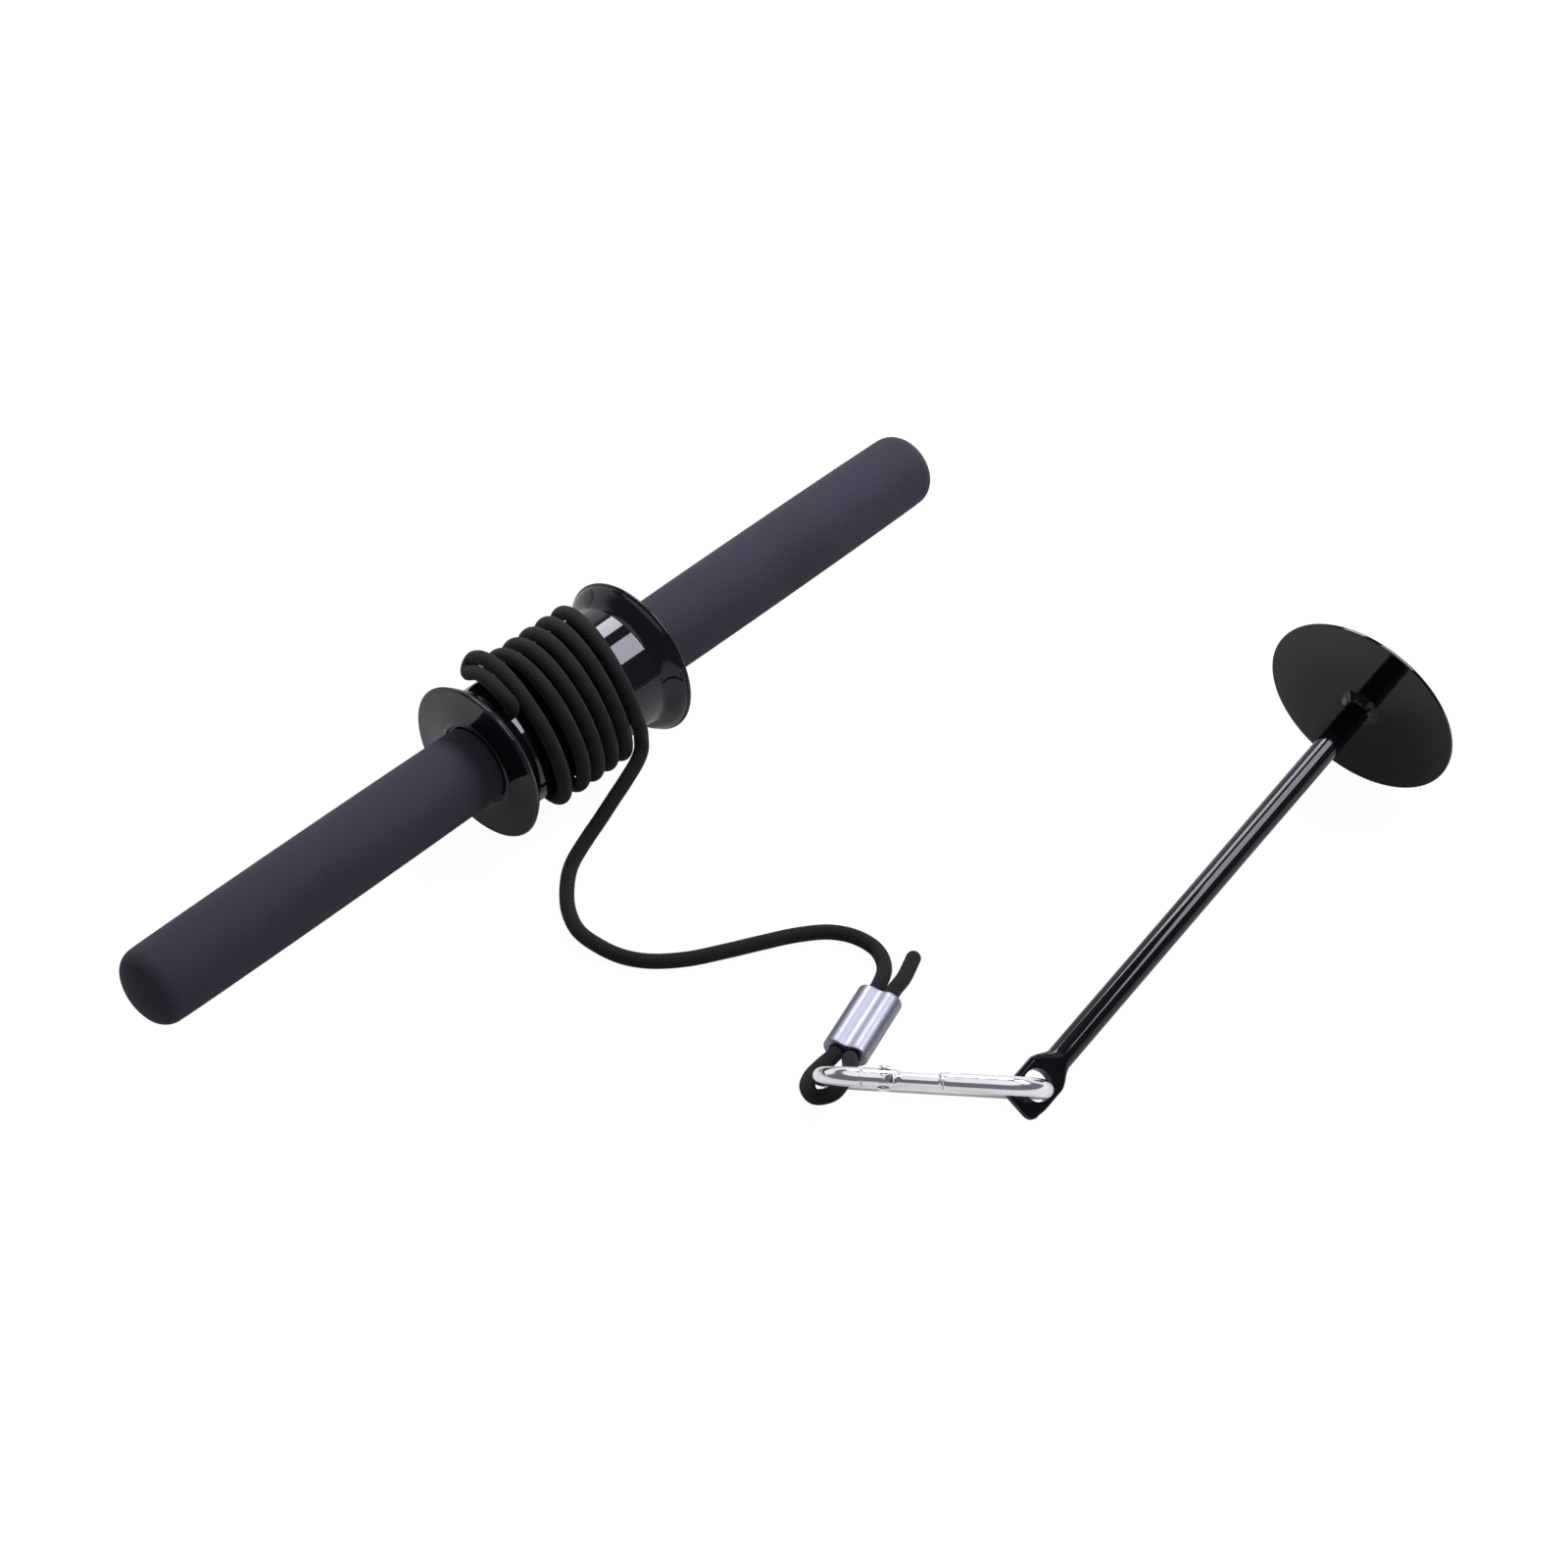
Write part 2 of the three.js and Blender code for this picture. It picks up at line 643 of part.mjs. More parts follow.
function hookBody() {
  let body = toSolid(ringTube(hookPath(), hookRadius, wireFaces, new THREE.Vector3(0, 0, 1)));
  const half = tongueThickness / 2;
  const tongue = box([-overrun, -tongueEndRadius, -half], [gatePivotX, tongueEndRadius, half]);
  const tongueEnd = cylinderAlongZ(tongueEndRadius, -half, half, smallFaces);
  body = body.add(atGateLine(tongue));
  body = body.add(atGateLine(tongueEnd.translate(gatePivotX, 0, 0)));
  const rivetHole = cylinderAlongZ(rivetRadius + gap, -hookRadius, hookRadius, smallFaces);
  body = body.subtract(atGateLine(rivetHole.translate(gatePivotX, 0, 0)));
  const slotHalf = latchTongueThickness / 2 + gap;
  const roof = gateBarDiameter / 2 + gap;
  const slotEnd = noseX + latchTongueLength + gap * 2;
  const slot = box([noseX - overrun, -hookRadius - overrun, -slotHalf], [slotEnd, roof, slotHalf]);
  body = body.subtract(atGateLine(slot));
  const notchRadius = latchPinRadius + gap * 2;
  const notch = box(
    [latchX - notchRadius, -hookRadius - overrun, -hookRadius - overrun],
    [latchX + notchRadius, notchRadius, hookRadius + overrun],
  );
  body = body.subtract(atGateLine(notch));
  return toGeometry(body);
}

function hookGate() {
  const fork = cylinderAlongX(forkRadius, stubX + gap, gateBarStart, wireFaces);
  const shoulderStart = noseX - gap - gateShoulderLength;
  const bar = cylinderAlongX(gateBarDiameter / 2, gateBarStart - overrun, noseX - gap, wireFaces);
  const shoulder = cylinderAlongX(forkRadius, shoulderStart, noseX - gap, wireFaces);
  const half = latchTongueThickness / 2;
  const tongueHalf = gateBarDiameter / 2;
  const tongue = box(
    [noseX - overrun * 2, -tongueHalf, -half],
    [noseX + latchTongueLength, tongueHalf, half],
  );
  let gate = solidUnion([fork, bar, shoulder, tongue].map(atGateLine));
  const slotHalf = tongueThickness / 2 + gap;
  const slotTop = hookRadius + overrun;
  const slot = box([stubX - overrun, -slotTop, -slotHalf], [gatePivotX, slotTop, slotHalf]);
  gate = gate.subtract(atGateLine(slot));
  const slotRound = cylinderAlongZ(tongueEndRadius + gap, -slotHalf, slotHalf, forkFaces);
  gate = gate.subtract(atGateLine(slotRound.translate(gatePivotX, 0, 0)));
  const lift = box([gatePivotX, -slotTop, -slotHalf], [gateSlotEnd - overrun, slotTop, slotHalf]);
  gate = gate.subtract(atGateLine(lift));
  const reach = gateSlotEnd + latchTongueLength + noseX;
  const tailKeep = cylinderAlongZ(gateTailRadius, -slotTop, slotTop, forkFaces);
  const frontKeep = box([gatePivotX, -slotTop, -slotTop], [reach, slotTop, slotTop]);
  const keep = atGateLine(tailKeep.translate(gatePivotX, 0, 0)).add(atGateLine(frontKeep));
  gate = gate.intersect(keep);
  const rivetHole = cylinderAlongZ(rivetRadius + gap, -slotTop, slotTop, smallFaces);
  gate = gate.subtract(atGateLine(rivetHole.translate(gatePivotX, 0, 0)));
  const latchHole = cylinderAlongZ(latchPinRadius + gap, -slotTop, slotTop, smallFaces);
  gate = gate.subtract(atGateLine(latchHole.translate(latchX, 0, 0)));
  const boreEnd = gateSlotEnd + gap + plungerLength + springLength;
  const bore = cylinderAlongX(gateBoreRadius, gateSlotEnd - overrun * 2, boreEnd, smallFaces);
  return toGeometry(gate.subtract(atGateLine(bore)));
}

function gateRivet() {
  const inner = forkRadius + gap;
  const outer = inner + rivetHeadHeight;
  const waist = rivetHeadRadius * rivetCrownShare;
  const half = [[0, rivetRadius], [inner, rivetRadius], [inner, rivetHeadRadius],
    [inner + rivetHeadHeight / 2, rivetHeadRadius], [outer, waist], [outer, 0]];
  const mirrored = half.slice(1).reverse().map(([along, radius]) => [-along, radius]);
  const geometry = turnedAlongX([...mirrored, ...half.slice(1)], smallFaces);
  return geometry.rotateY(Math.PI / 2).translate(gatePivotX, gateLineY, 0);
}

function latchPin() {
  const half = latchPinLength / 2;
  return cylinderAlongZ(latchPinRadius, -half, half, smallFaces).translate(latchX, gateLineY, 0);
}

const plungerStart = gateSlotEnd;

function gatePlunger() {
  const end = plungerStart + plungerLength;
  const shank = gateBoreRadius - gap;
  const profile = [[plungerStart, 0], [plungerStart, shank * plungerTipShare],
    [plungerStart + shank, shank], [end, shank], [end, 0]];
  return turnedAlongX(profile, smallFaces).translate(0, gateLineY, 0);
}

function gateSpring() {
  const coil = (springDiameter - springWire) / 2;
  const start = plungerStart + plungerLength + gap + springWire / 2;
  const turnLength = (springLength - gap * 2 - springWire) / springCurls;
  const points = [];
  for (let step = 0; step <= springCurls * stepsPerCurl; step += 1) {
    const angle = (2 * Math.PI * step) / stepsPerCurl;
    points.push(new THREE.Vector3(start + (turnLength * step) / stepsPerCurl,
      coil * Math.cos(angle), coil * Math.sin(angle)));
  }
  const away = new THREE.Vector3(0, points[0].y, points[0].z);
  const geometry = ringTube(points, springWire / 2, curlSides, away);
  return { geometry: geometry.translate(0, gateLineY, 0), points };
}

// Loading pin, drawn along Z from the plate's upper face, with its blade in the XZ plane
const bladeEnd = pinReach + bladeEndMargin;
const bladeStart = pinReach - bladeNeck - bladeShoulder;

function bladeOutline() {
  const half = bladeWidth / 2;
  const rodHalf = (rodDiameter / 2) * bladeRootShare;
  const shoulderEnd = bladeStart + bladeShoulder;
  const taperStart = bladeEnd - bladeTaper;
  const right = [[rodHalf, bladeStart]];
  const shoulderShares = [0.25, 0.5, 0.75, 1];
  for (const share of shoulderShares) {
    const rise = share * share * (3 - 2 * share);
    right.push([rodHalf + (half - rodHalf) * rise, bladeStart + (shoulderEnd - bladeStart) * share]);
  }
  right.push([half, taperStart]);
  const cornerAcross = bladeEndWidth / 2 - bladeCorner;
  for (let step = 0; step <= cornerSteps; step += 1) {
    const turn = (Math.PI * step) / (2 * cornerSteps);
    right.push([cornerAcross + bladeCorner * Math.cos(turn),
      bladeEnd - bladeCorner + bladeCorner * Math.sin(turn)]);
  }
  const left = right.map(([across, along]) => [-across, along]).reverse();
  const shape = new THREE.Shape();
  shape.moveTo(...right[0]);
  for (const place of [...right.slice(1), ...left]) shape.lineTo(...place);
  shape.closePath();
  return shape;
}

function loadingPin() {
  const rodEnd = bladeStart + bladeShoulder * rodFlatShare;
  const rod = cylinderAlongZ(rodDiameter / 2, 0, rodEnd, rodFaces);
  const extruded = new THREE.ExtrudeGeometry(bladeOutline(), {
    depth: bladeThickness,
    bevelEnabled: false,
  });
  extruded.translate(0, 0, -bladeThickness / 2);
  extruded.rotateX(Math.PI / 2);
  const flatHalf = bladeThickness / 2;
  const slope = [[rodDiameter / 2, bladeStart - overrun], [flatHalf, rodEnd],
    [flatHalf, rodEnd + overrun]];
  let round = toSolid(rod);
  for (const side of [1, -1]) {
    const wedge = new THREE.Shape();
    wedge.moveTo(side * (rodDiameter / 2 + overrun), bladeStart - overrun);
    for (const [out, along] of slope) wedge.lineTo(side * out, along);
    wedge.lineTo(side * (rodDiameter / 2 + overrun), rodEnd + overrun);
    wedge.closePath();
    const cut = new THREE.ExtrudeGeometry(wedge, { depth: rodDiameter * 2, bevelEnabled: false });
    cut.translate(0, 0, -rodDiameter);
    cut.rotateX(Math.PI / 2);
    cut.rotateZ(Math.PI / 2);
    round = round.subtract(toSolid(cut));
  }
  const hole = cylinderAlongZ(bladeHoleDiameter / 2, -rodDiameter, rodDiameter, rodFaces);
  hole.rotateX(Math.PI / 2);
  hole.translate(0, 0, pinReach);
  return toGeometry(round.add(toSolid(extruded)).subtract(toSolid(hole)));
}

function weightPlate() {
  const radius = plateDiameter / 2;
  const bore = rodDiameter / 2 + gap;
  const bottom = -plateThickness;
  const seatInner = bore + weldLeg + weldMargin;
  const profile = [[bottom, bore], [bottom, radius - plateEdge], [bottom + plateEdge, radius],
    [-plateEdge, radius], [0, radius - plateEdge], [0, seatInner], [0, bore], [bottom, bore]];
  return turnedAlongX(profile, plateFaces).rotateY(-Math.PI / 2);
}

function weldBead() {
  const inner = rodDiameter / 2 + gap;
  const low = gap;
  const profile = [[low, inner], [low, inner + weldLeg],
    [low + weldLeg * weldHollowShare, inner + weldLeg * weldHollowShare],
    [low + weldLeg, inner], [low, inner]];
  return turnedAlongX(profile, rodFaces).rotateY(-Math.PI / 2);
}

// Placing of the hook's plane and of the pin
function headingVector(degrees) {
  return new THREE.Vector3(Math.cos(degrees * radians), Math.sin(degrees * radians), 0);
}

const upward = new THREE.Vector3(0, 0, 1);
const hookAlong = headingVector(hookHeadingDegrees);
const hookSideways = headingVector(hookHeadingDegrees - 90);
const hookUp = hookSideways.clone().multiplyScalar(Math.cos(hookLeanDegrees * radians));
hookUp.addScaledVector(upward, Math.sin(hookLeanDegrees * radians));
const hookNormal = new THREE.Vector3().crossVectors(hookAlong, hookUp);
const pinSeatX = hookStraight + hookBendRadius * Math.sin(hookPinDegrees * radians);
const pinSeatY = hookBendRadius * (1 - Math.cos(hookPinDegrees * radians));
const pinSeat = new THREE.Vector3(hookAtPinX, hookAtPinY, hookRadius + hookUp.z * pinSeatY);
const hookOrigin = pinSeat.clone();
hookOrigin.addScaledVector(hookAlong, -pinSeatX).addScaledVector(hookUp, -pinSeatY);

const hookGroup = new THREE.Group();
hookGroup.applyMatrix4(new THREE.Matrix4().makeBasis(hookAlong, hookUp, hookNormal));
hookGroup.position.copy(hookOrigin);

// The pin lies on the hook and on the plate's rim, which sets how far it tilts
const pinLever = plateDiameter / 2 - pinSideRest * Math.sin(bladeRollDegrees * radians);
const pinSpan = Math.hypot(pinReach, pinLever);
const pinTilt = Math.acos(pinSeat.z / pinSpan) - Math.atan2(pinReach, pinLever);
const pinAlong = headingVector(pinHeadingDegrees).multiplyScalar(Math.cos(pinTilt));
pinAlong.addScaledVector(upward, -Math.sin(pinTilt));
const bladeNormal = upward.clone().addScaledVector(pinAlong, -upward.dot(pinAlong)).normalize();
bladeNormal.applyAxisAngle(pinAlong, -bladeRollDegrees * radians);
const bladeAcross = new THREE.Vector3().crossVectors(bladeNormal, pinAlong);

const pinGroup = new THREE.Group();
pinGroup.applyMatrix4(new THREE.Matrix4().makeBasis(bladeAcross, bladeNormal, pinAlong));
pinGroup.position.copy(pinSeat).addScaledVector(pinAlong, -pinReach);
pinGroup.position.addScaledVector(bladeAcross, -pinSideRest);

// Assembly
const roller = new THREE.Group();
roller.position.z = axisHeight;
const spring = gateSpring();

roller.add(meshOf('bar_tube', barTube(), steel));
roller.add(meshOf('tube_plug_far', tubePlug(), plugPlastic));
roller.add(meshOf('grip_far', grip(), foam));
const nearEnd = new THREE.Group();
nearEnd.rotation.z = Math.PI;
nearEnd.add(meshOf('tube_plug_near', tubePlug(), plugPlastic));
nearEnd.add(meshOf('grip_near', grip(), foam));
roller.add(nearEnd);
roller.add(meshOf('spool_half_far', spoolHalfShell(1), glossBlack));
roller.add(meshOf('spool_half_near', spoolHalfShell(-1), glossBlack));
bossSpots().forEach((spot, index) => {
  roller.add(meshOf(`spool_screw_${index + 1}`, spoolScrew(spot), steel));
});
roller.add(meshOf('drive_pin', drivePin(), steel));
roller.add(meshOf('cord_knot', cordKnot(), cordFabric));

const alongBar = new THREE.Vector3(1, 0, 0);
const winding = meshOf(
  'cord_winding',
  ringTube(windingRoute, cordRadius, windingSides, alongBar),
  cordFabric,
);
winding.position.z = axisHeight;

const cordMeshes = [
  winding,
  meshOf('cord_lead', cordTube(leadRoute(), leadSteps, leadSides), cordFabric),
  meshOf('cord_loop', cordTube(loopRoute(), loopSteps, leadSides), cordFabric),
  meshOf('cord_tail', cordTube(tailRoute(), tailSteps, leadSides), cordFabric),
  meshOf('ferrule', ferrule(), aluminium),
];

hookGroup.add(meshOf('hook_body', hookBody(), zinc));
hookGroup.add(meshOf('hook_gate', hookGate(), zinc));
hookGroup.add(meshOf('gate_rivet', gateRivet(), zinc));
hookGroup.add(meshOf('latch_pin', latchPin(), steel));
hookGroup.add(meshOf('gate_plunger', gatePlunger(), steel));
hookGroup.add(meshOf('gate_spring', spring.geometry, steel));

pinGroup.add(meshOf('loading_pin', loadingPin(), blackPaint));
pinGroup.add(meshOf('weight_plate', weightPlate(), blackPaint));
pinGroup.add(meshOf('weld_bead', weldBead(), blackPaint));

const rollerAssembly = new THREE.Group();
rollerAssembly.name = 'wrist_roller';
rollerAssembly.add(roller, hookGroup, pinGroup);

// The origin is under the middle of the box round the roller, the hook and the pin
rollerAssembly.updateMatrixWorld(true);
const wholeBox = new THREE.Box3().setFromObject(rollerAssembly, true);
const middle = wholeBox.getCenter(new THREE.Vector3());
rollerAssembly.add(...cordMeshes);
rollerAssembly.position.set(-middle.x, -middle.y, 0);

const windingGap = leastSelfDistance(windingRoute, 3 * cordDiameter) - cordDiameter;
const springGap = leastSelfDistance(spring.points, 3 * springWire) - springWire;
console.log(`least gap between turns of cord: ${windingGap.toFixed(2)} mm`);
console.log(`least gap between curls of the spring: ${springGap.toFixed(2)} mm`);

export default rollerAssembly;
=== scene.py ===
import math

import bmesh
import bpy
import numpy as np
from mathutils import Matrix, Vector


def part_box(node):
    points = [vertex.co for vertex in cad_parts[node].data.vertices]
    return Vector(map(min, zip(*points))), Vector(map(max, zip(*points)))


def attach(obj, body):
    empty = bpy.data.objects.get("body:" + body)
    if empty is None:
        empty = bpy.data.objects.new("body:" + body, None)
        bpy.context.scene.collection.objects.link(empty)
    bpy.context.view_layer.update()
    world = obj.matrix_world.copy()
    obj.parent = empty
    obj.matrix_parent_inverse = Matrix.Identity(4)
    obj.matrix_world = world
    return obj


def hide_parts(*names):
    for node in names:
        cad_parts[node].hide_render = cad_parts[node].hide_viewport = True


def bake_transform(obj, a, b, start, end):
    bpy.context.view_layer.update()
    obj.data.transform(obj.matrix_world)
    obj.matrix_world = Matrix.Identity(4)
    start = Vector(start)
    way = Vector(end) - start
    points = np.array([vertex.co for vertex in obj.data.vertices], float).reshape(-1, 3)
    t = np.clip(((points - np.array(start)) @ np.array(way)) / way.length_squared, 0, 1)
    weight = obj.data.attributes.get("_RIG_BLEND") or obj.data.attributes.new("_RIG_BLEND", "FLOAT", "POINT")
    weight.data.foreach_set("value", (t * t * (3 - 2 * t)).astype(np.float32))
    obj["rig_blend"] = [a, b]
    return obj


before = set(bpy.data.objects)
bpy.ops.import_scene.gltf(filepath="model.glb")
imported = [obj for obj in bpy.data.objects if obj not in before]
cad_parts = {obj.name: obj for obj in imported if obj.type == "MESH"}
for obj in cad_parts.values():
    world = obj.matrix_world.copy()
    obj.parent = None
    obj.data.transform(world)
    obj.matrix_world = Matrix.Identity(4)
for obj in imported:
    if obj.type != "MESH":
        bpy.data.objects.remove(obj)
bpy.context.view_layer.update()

# A wrist roller lying on a white table. Pieces are in metres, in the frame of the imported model.
# Sizes below are in millimetres, in the frame of the part's source: its origin is on the floor
# under the middle of the bar. A radius or a half is named as such, an edge, corner or dome is its
# radius or reach, and angles are in degrees.
MM = 0.001
TINY = 1e-9
ALONG_BAR = (1, 0, 0)
bar_low, bar_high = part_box("bar_tube")
BAR = (bar_low + bar_high) / 2

# Bar and grips
OVERALL_LENGTH = 430.5
GRIP_RADIUS = 16.5
GRIP_END = 6
GRIP_EDGE = 8
GRIP_INNER_EDGE = 0.6
GRIP_DOME = 25
GRIP_BULGE = 0.5
BULGE_POWER = 0.6
TUBE_RADIUS = 12.5
GAP = 0.3
OVERRUN = 1

# Spool
SPOOL_HALF = 43.3
DRUM_RADIUS = 26.5
DRUM_WALL = 3
HUB_WALL = 3.8
WEB_THICKNESS = 5
SEAM_EDGE = 0.2
FLANGE_RADIUS = 33.7
FLARE_LENGTH = 8
RIM_FACE = 1.6
RIM_RADIUS = 0.8
RIM_WRAP_RADIANS = 2.6
COLLAR_WALL = 1.7
COLLAR_HEIGHT = 0.8
COLLAR_EDGE = 0.2
BOSS_COUNT = 3
BOSS_TURN = 30
BOSS_PLACE = 20.05
SCREW_HEAD_RADIUS = 2.8
SCREW_HEAD_DEPTH = 3

# Cord
CORD_RADIUS = 3
TURNS = 5
TURN_PITCH = 7.6
TURN_LEAN = 10.4
LEAN_LOSS = 0.9
LEAN_PHASE = -65
LAST_TURN_X = 14.6
LEAVE_ANGLE = -78
ANCHOR_ANGLE = 46
ANCHOR_RISE = 4.6
ANCHOR_RISE_ANGLE = 80
LEG_ANGLE = 60
LEG_RISE = 0.6
LEG_SPACING = 6.3
DIVE_STRAIGHT = 1.2
DIVE_DEPTH = 1
LAST_SPREAD = 3.1
SPREAD_START = 300
SPREAD_RAMP = 170
CAD_STEP = 15
TURN_STEP = 3.0
U_TURN_STEPS = 6
DIVE_STEPS = 4
POINT_SPACING = 0.8
TIP_STEPS = 8
TIP_SHARE = 0.08

# Sleeve on the cord
FERRULE_LENGTH = 31.4
FERRULE_WALL = 1.6
FERRULE_SIDE_WALL = 2.6
FERRULE_WAIST_SHARE = 0.82
FERRULE_EDGE = 0.45
FERRULE_EDGE_SHARES = ((0, 0.94), (0.4, 0.985), (1, 1))
FERRULE_TOP = (-8.6, -181.7)
FERRULE_HEADING = 197

# Snap hook
WIRE_RADIUS = 3.6
HOOK_STRAIGHT = 54
BEND_RADIUS = 13.5
HOOK_LEAN = 51
HOOK_HEADING = -51.5
HOOK_PIN_ANGLE = 61
HOOK_AT_PIN = (-6.5, -257.5)
HOOK_STUB = 1
WIRE_END_SHARE = 0.93
METAL_EDGE = 0.25
TONGUE_HALF = 1.5
GATE_PIVOT = 9.4
GATE_NOSE = 31
GATE_RADIUS = 2.7
GATE_LINE = 2 * BEND_RADIUS
GATE_SHOULDER = 1
GATE_TAPER = 1.6
NOSE_RING = 0.7
NOSE_INSET = 0.1
GATE_EDGES = (0.5, 0.6, 0.8, 0.8, 0.3, 0.3)
LATCH_HALF = 1.2
LATCH_LENGTH = 6.5
LATCH_ROOT = 2
LATCH_PIN_RADIUS = 1.1
LATCH_PIN_INSET = 4.2
CUTTER_REACH = 5
# How far each point of the rivet's head stands out past the wire, and its radius
RIVET_OUTLINE = ((0.9, 0), (0.85, 1.2), (0.5, 2.1), (0, 2.4), (0, 1.4))

# Loading pin
ROD_RADIUS = 5
ROD_INSET = 0.2
PLATE_RADIUS = 41.15
PLATE_THICKNESS = 1.5
PLATE_EDGE = 0.4
PIN_REACH = 221
PIN_HEADING = -175.4
PIN_REST = 2
BLADE_ROLL = 40
BLADE_HALF = 8.6
BLADE_END_HALF = 8
BLADE_CORNER = 3.2
BLADE_THICKNESS = 3.8
BLADE_TIP_EDGE = 0.7
BLADE_SQUARENESS = 0.62
HOLE_RADIUS = 6.2
BLADE_MARGIN = 11.6
BLADE_NECK = 6
BLADE_SHOULDER = 9
BLADE_TAPER = 8
# How far each point of the weld stands above the plate, and out from the rod
WELD_OUTLINE = ((0.02, 0.2), (0.02, 3.3), (0.35, 3.0), (0.8, 2.2), (1.3, 1.4), (2.0, 0.7),
                (2.9, 0.25), (2.9, 0.0))
# The weld's unevenness: share of its size, waves round the rod, phase in radians
WELD_WAVES = ((0.05, 11, 0), (0.03, 5, 1))
WELD_CORE = 0.6
WELD_SIDE_SHARE = 0.6

# Faces round each kind of piece
GRIP_FACES = 128
SPOOL_FACES = 192
CORD_FACES = 24
BORE_FACES = 32
SLEEVE_FACES = 48
WIRE_FACES = 32
RIVET_FACES = 40
ROD_FACES = 48
WELD_FACES = 96
PLATE_FACES = 192

# Points along each kind of curve
GRIP_POINTS = 60
GRIP_EDGE_POINTS = 14
INNER_EDGE_POINTS = 5
DOME_POINTS = 10
FLARE_POINTS = 28
RIM_POINTS = 12
SLEEVE_POINTS = 19
NOSE_POINTS = 24
BEND_POINTS = 40
SPINE_POINTS = 30
ROD_POINTS = 40
BLADE_POINTS = 60
BLADE_END_POINTS = 9
PLATE_POINTS = 10

# Sizes worked out from those above
WINDING_RADIUS = (DRUM_RADIUS + GAP + CORD_RADIUS) / math.cos(math.radians(CAD_STEP / 2))
FERRULE_RADIUS = CORD_RADIUS + GAP + FERRULE_WALL
LOBE = CORD_RADIUS + GAP / 2


# Camera: the photograph's viewing angle, read as a square frame
CAMERA_PLACE = (-700.6, -650.1, 979.0)
CAMERA_FORWARD = (0.531, 0.4932, -0.689)
CAMERA_RANGE = 50
FOCAL_PIXELS = 3600
FRAME_PIXELS = 1600
SENSOR = 36

camera_data = bpy.data.cameras.new("camera")
camera_data.sensor_width = SENSOR
camera_data.lens = SENSOR * FOCAL_PIXELS / FRAME_PIXELS
camera_data.clip_end = CAMERA_RANGE
camera = bpy.data.objects.new("camera", camera_data)
camera.location = Vector(CAMERA_PLACE) * MM
camera.rotation_mode = "QUATERNION"
camera.rotation_quaternion = Vector(CAMERA_FORWARD).to_track_quat("-Z", "Y")
bpy.context.scene.collection.objects.link(camera)
bpy.context.scene.camera = camera
bpy.context.scene.view_settings.view_transform = "Standard"


# Meshes
def floor_point(x, y, z):
    """A point of the part's source, in metres in the model's frame."""
    return np.array([BAR.x + x * MM, BAR.y + y * MM, z * MM])


def on_bar(along, radius, angle):
    """A point round the bar: the angle, in radians, is counted from the top to the back."""
    side = radius * math.sin(angle) * MM
    up = radius * math.cos(angle) * MM
    return np.array([BAR.x + along * MM, BAR.y + side, BAR.z + up])


def add_object(name, mesh):
    piece = bpy.data.objects.new(name, mesh)
    bpy.context.scene.collection.objects.link(piece)
    return piece


def grid_mesh(name, rows, wrap, ends=(False, False)):
    """A quad mesh over rows of points, its UV map in shares across and metres along.
    wrap joins each row's last point to its first; ends says which end rows get a cap."""
    rows = np.array(rows, float)
    count, across = rows.shape[:2]
    lengths = np.linalg.norm(np.diff(rows.mean(axis=1), axis=0), axis=1)
    if not wrap or lengths.sum() < TINY:
        lengths = np.linalg.norm(np.diff(rows, axis=0), axis=2).mean(axis=1)
    along = np.concatenate([[0], np.cumsum(lengths)])
    span = across if wrap else across - 1
    faces = []
    uvs = []
    for row in range(count - 1):
        for column in range(span):
            after = (column + 1) % across
            faces.append((row * across + column, row * across + after,
                          (row + 1) * across + after, (row + 1) * across + column))
            left, right = column / span, (column + 1) / span
            uvs += [(left, along[row]), (right, along[row]),
                    (right, along[row + 1]), (left, along[row + 1])]
    for wanted, row in zip(ends, (0, count - 1)):
        if wanted:
            ring = list(range(row * across, (row + 1) * across))
            faces.append(ring[::-1] if row == 0 else ring)
            uvs += [(0, along[row])] * across
    mesh = bpy.data.meshes.new(name)
    mesh.from_pydata(rows.reshape(-1, 3).tolist(), [], faces)
    layer = mesh.uv_layers.new(name="weave")
    layer.data.foreach_set("uv", np.array(uvs, float).ravel())
    bm = bmesh.new()
    bm.from_mesh(mesh)
    bmesh.ops.recalc_face_normals(bm, faces=bm.faces)
    bm.to_mesh(mesh)
    bm.free()
    return mesh


def smooth(piece, angle=40):
    """Smooth shading, with edges over the angle kept sharp."""
    piece.data.shade_smooth()
    piece.data.set_sharp_from_angle(angle=math.radians(angle))
    return piece


def tube(name, points, radii, sides, up, ends=(True, True)):
    """A round tube along a dense line of points, with its section carried along without twist."""
    points = np.array(points, float)
    radii = np.broadcast_to(radii, len(points))
    tangents = np.gradient(points, axis=0)
    tangents /= np.linalg.norm(tangents, axis=1)[:, None]
    normal = np.array(up, float)
    rows = []
    angles = np.linspace(0, 2 * math.pi, sides, endpoint=False)
    for point, tangent, radius in zip(points, tangents, radii):
        normal = normal - tangent * (normal @ tangent)
        normal = normal / np.linalg.norm(normal)
        side = np.cross(tangent, normal)
        ring = np.outer(np.cos(angles), normal) + np.outer(np.sin(angles), side)
        rows.append(point + ring * radius)
    return smooth(add_object(name, grid_mesh(name, rows, True, ends)))


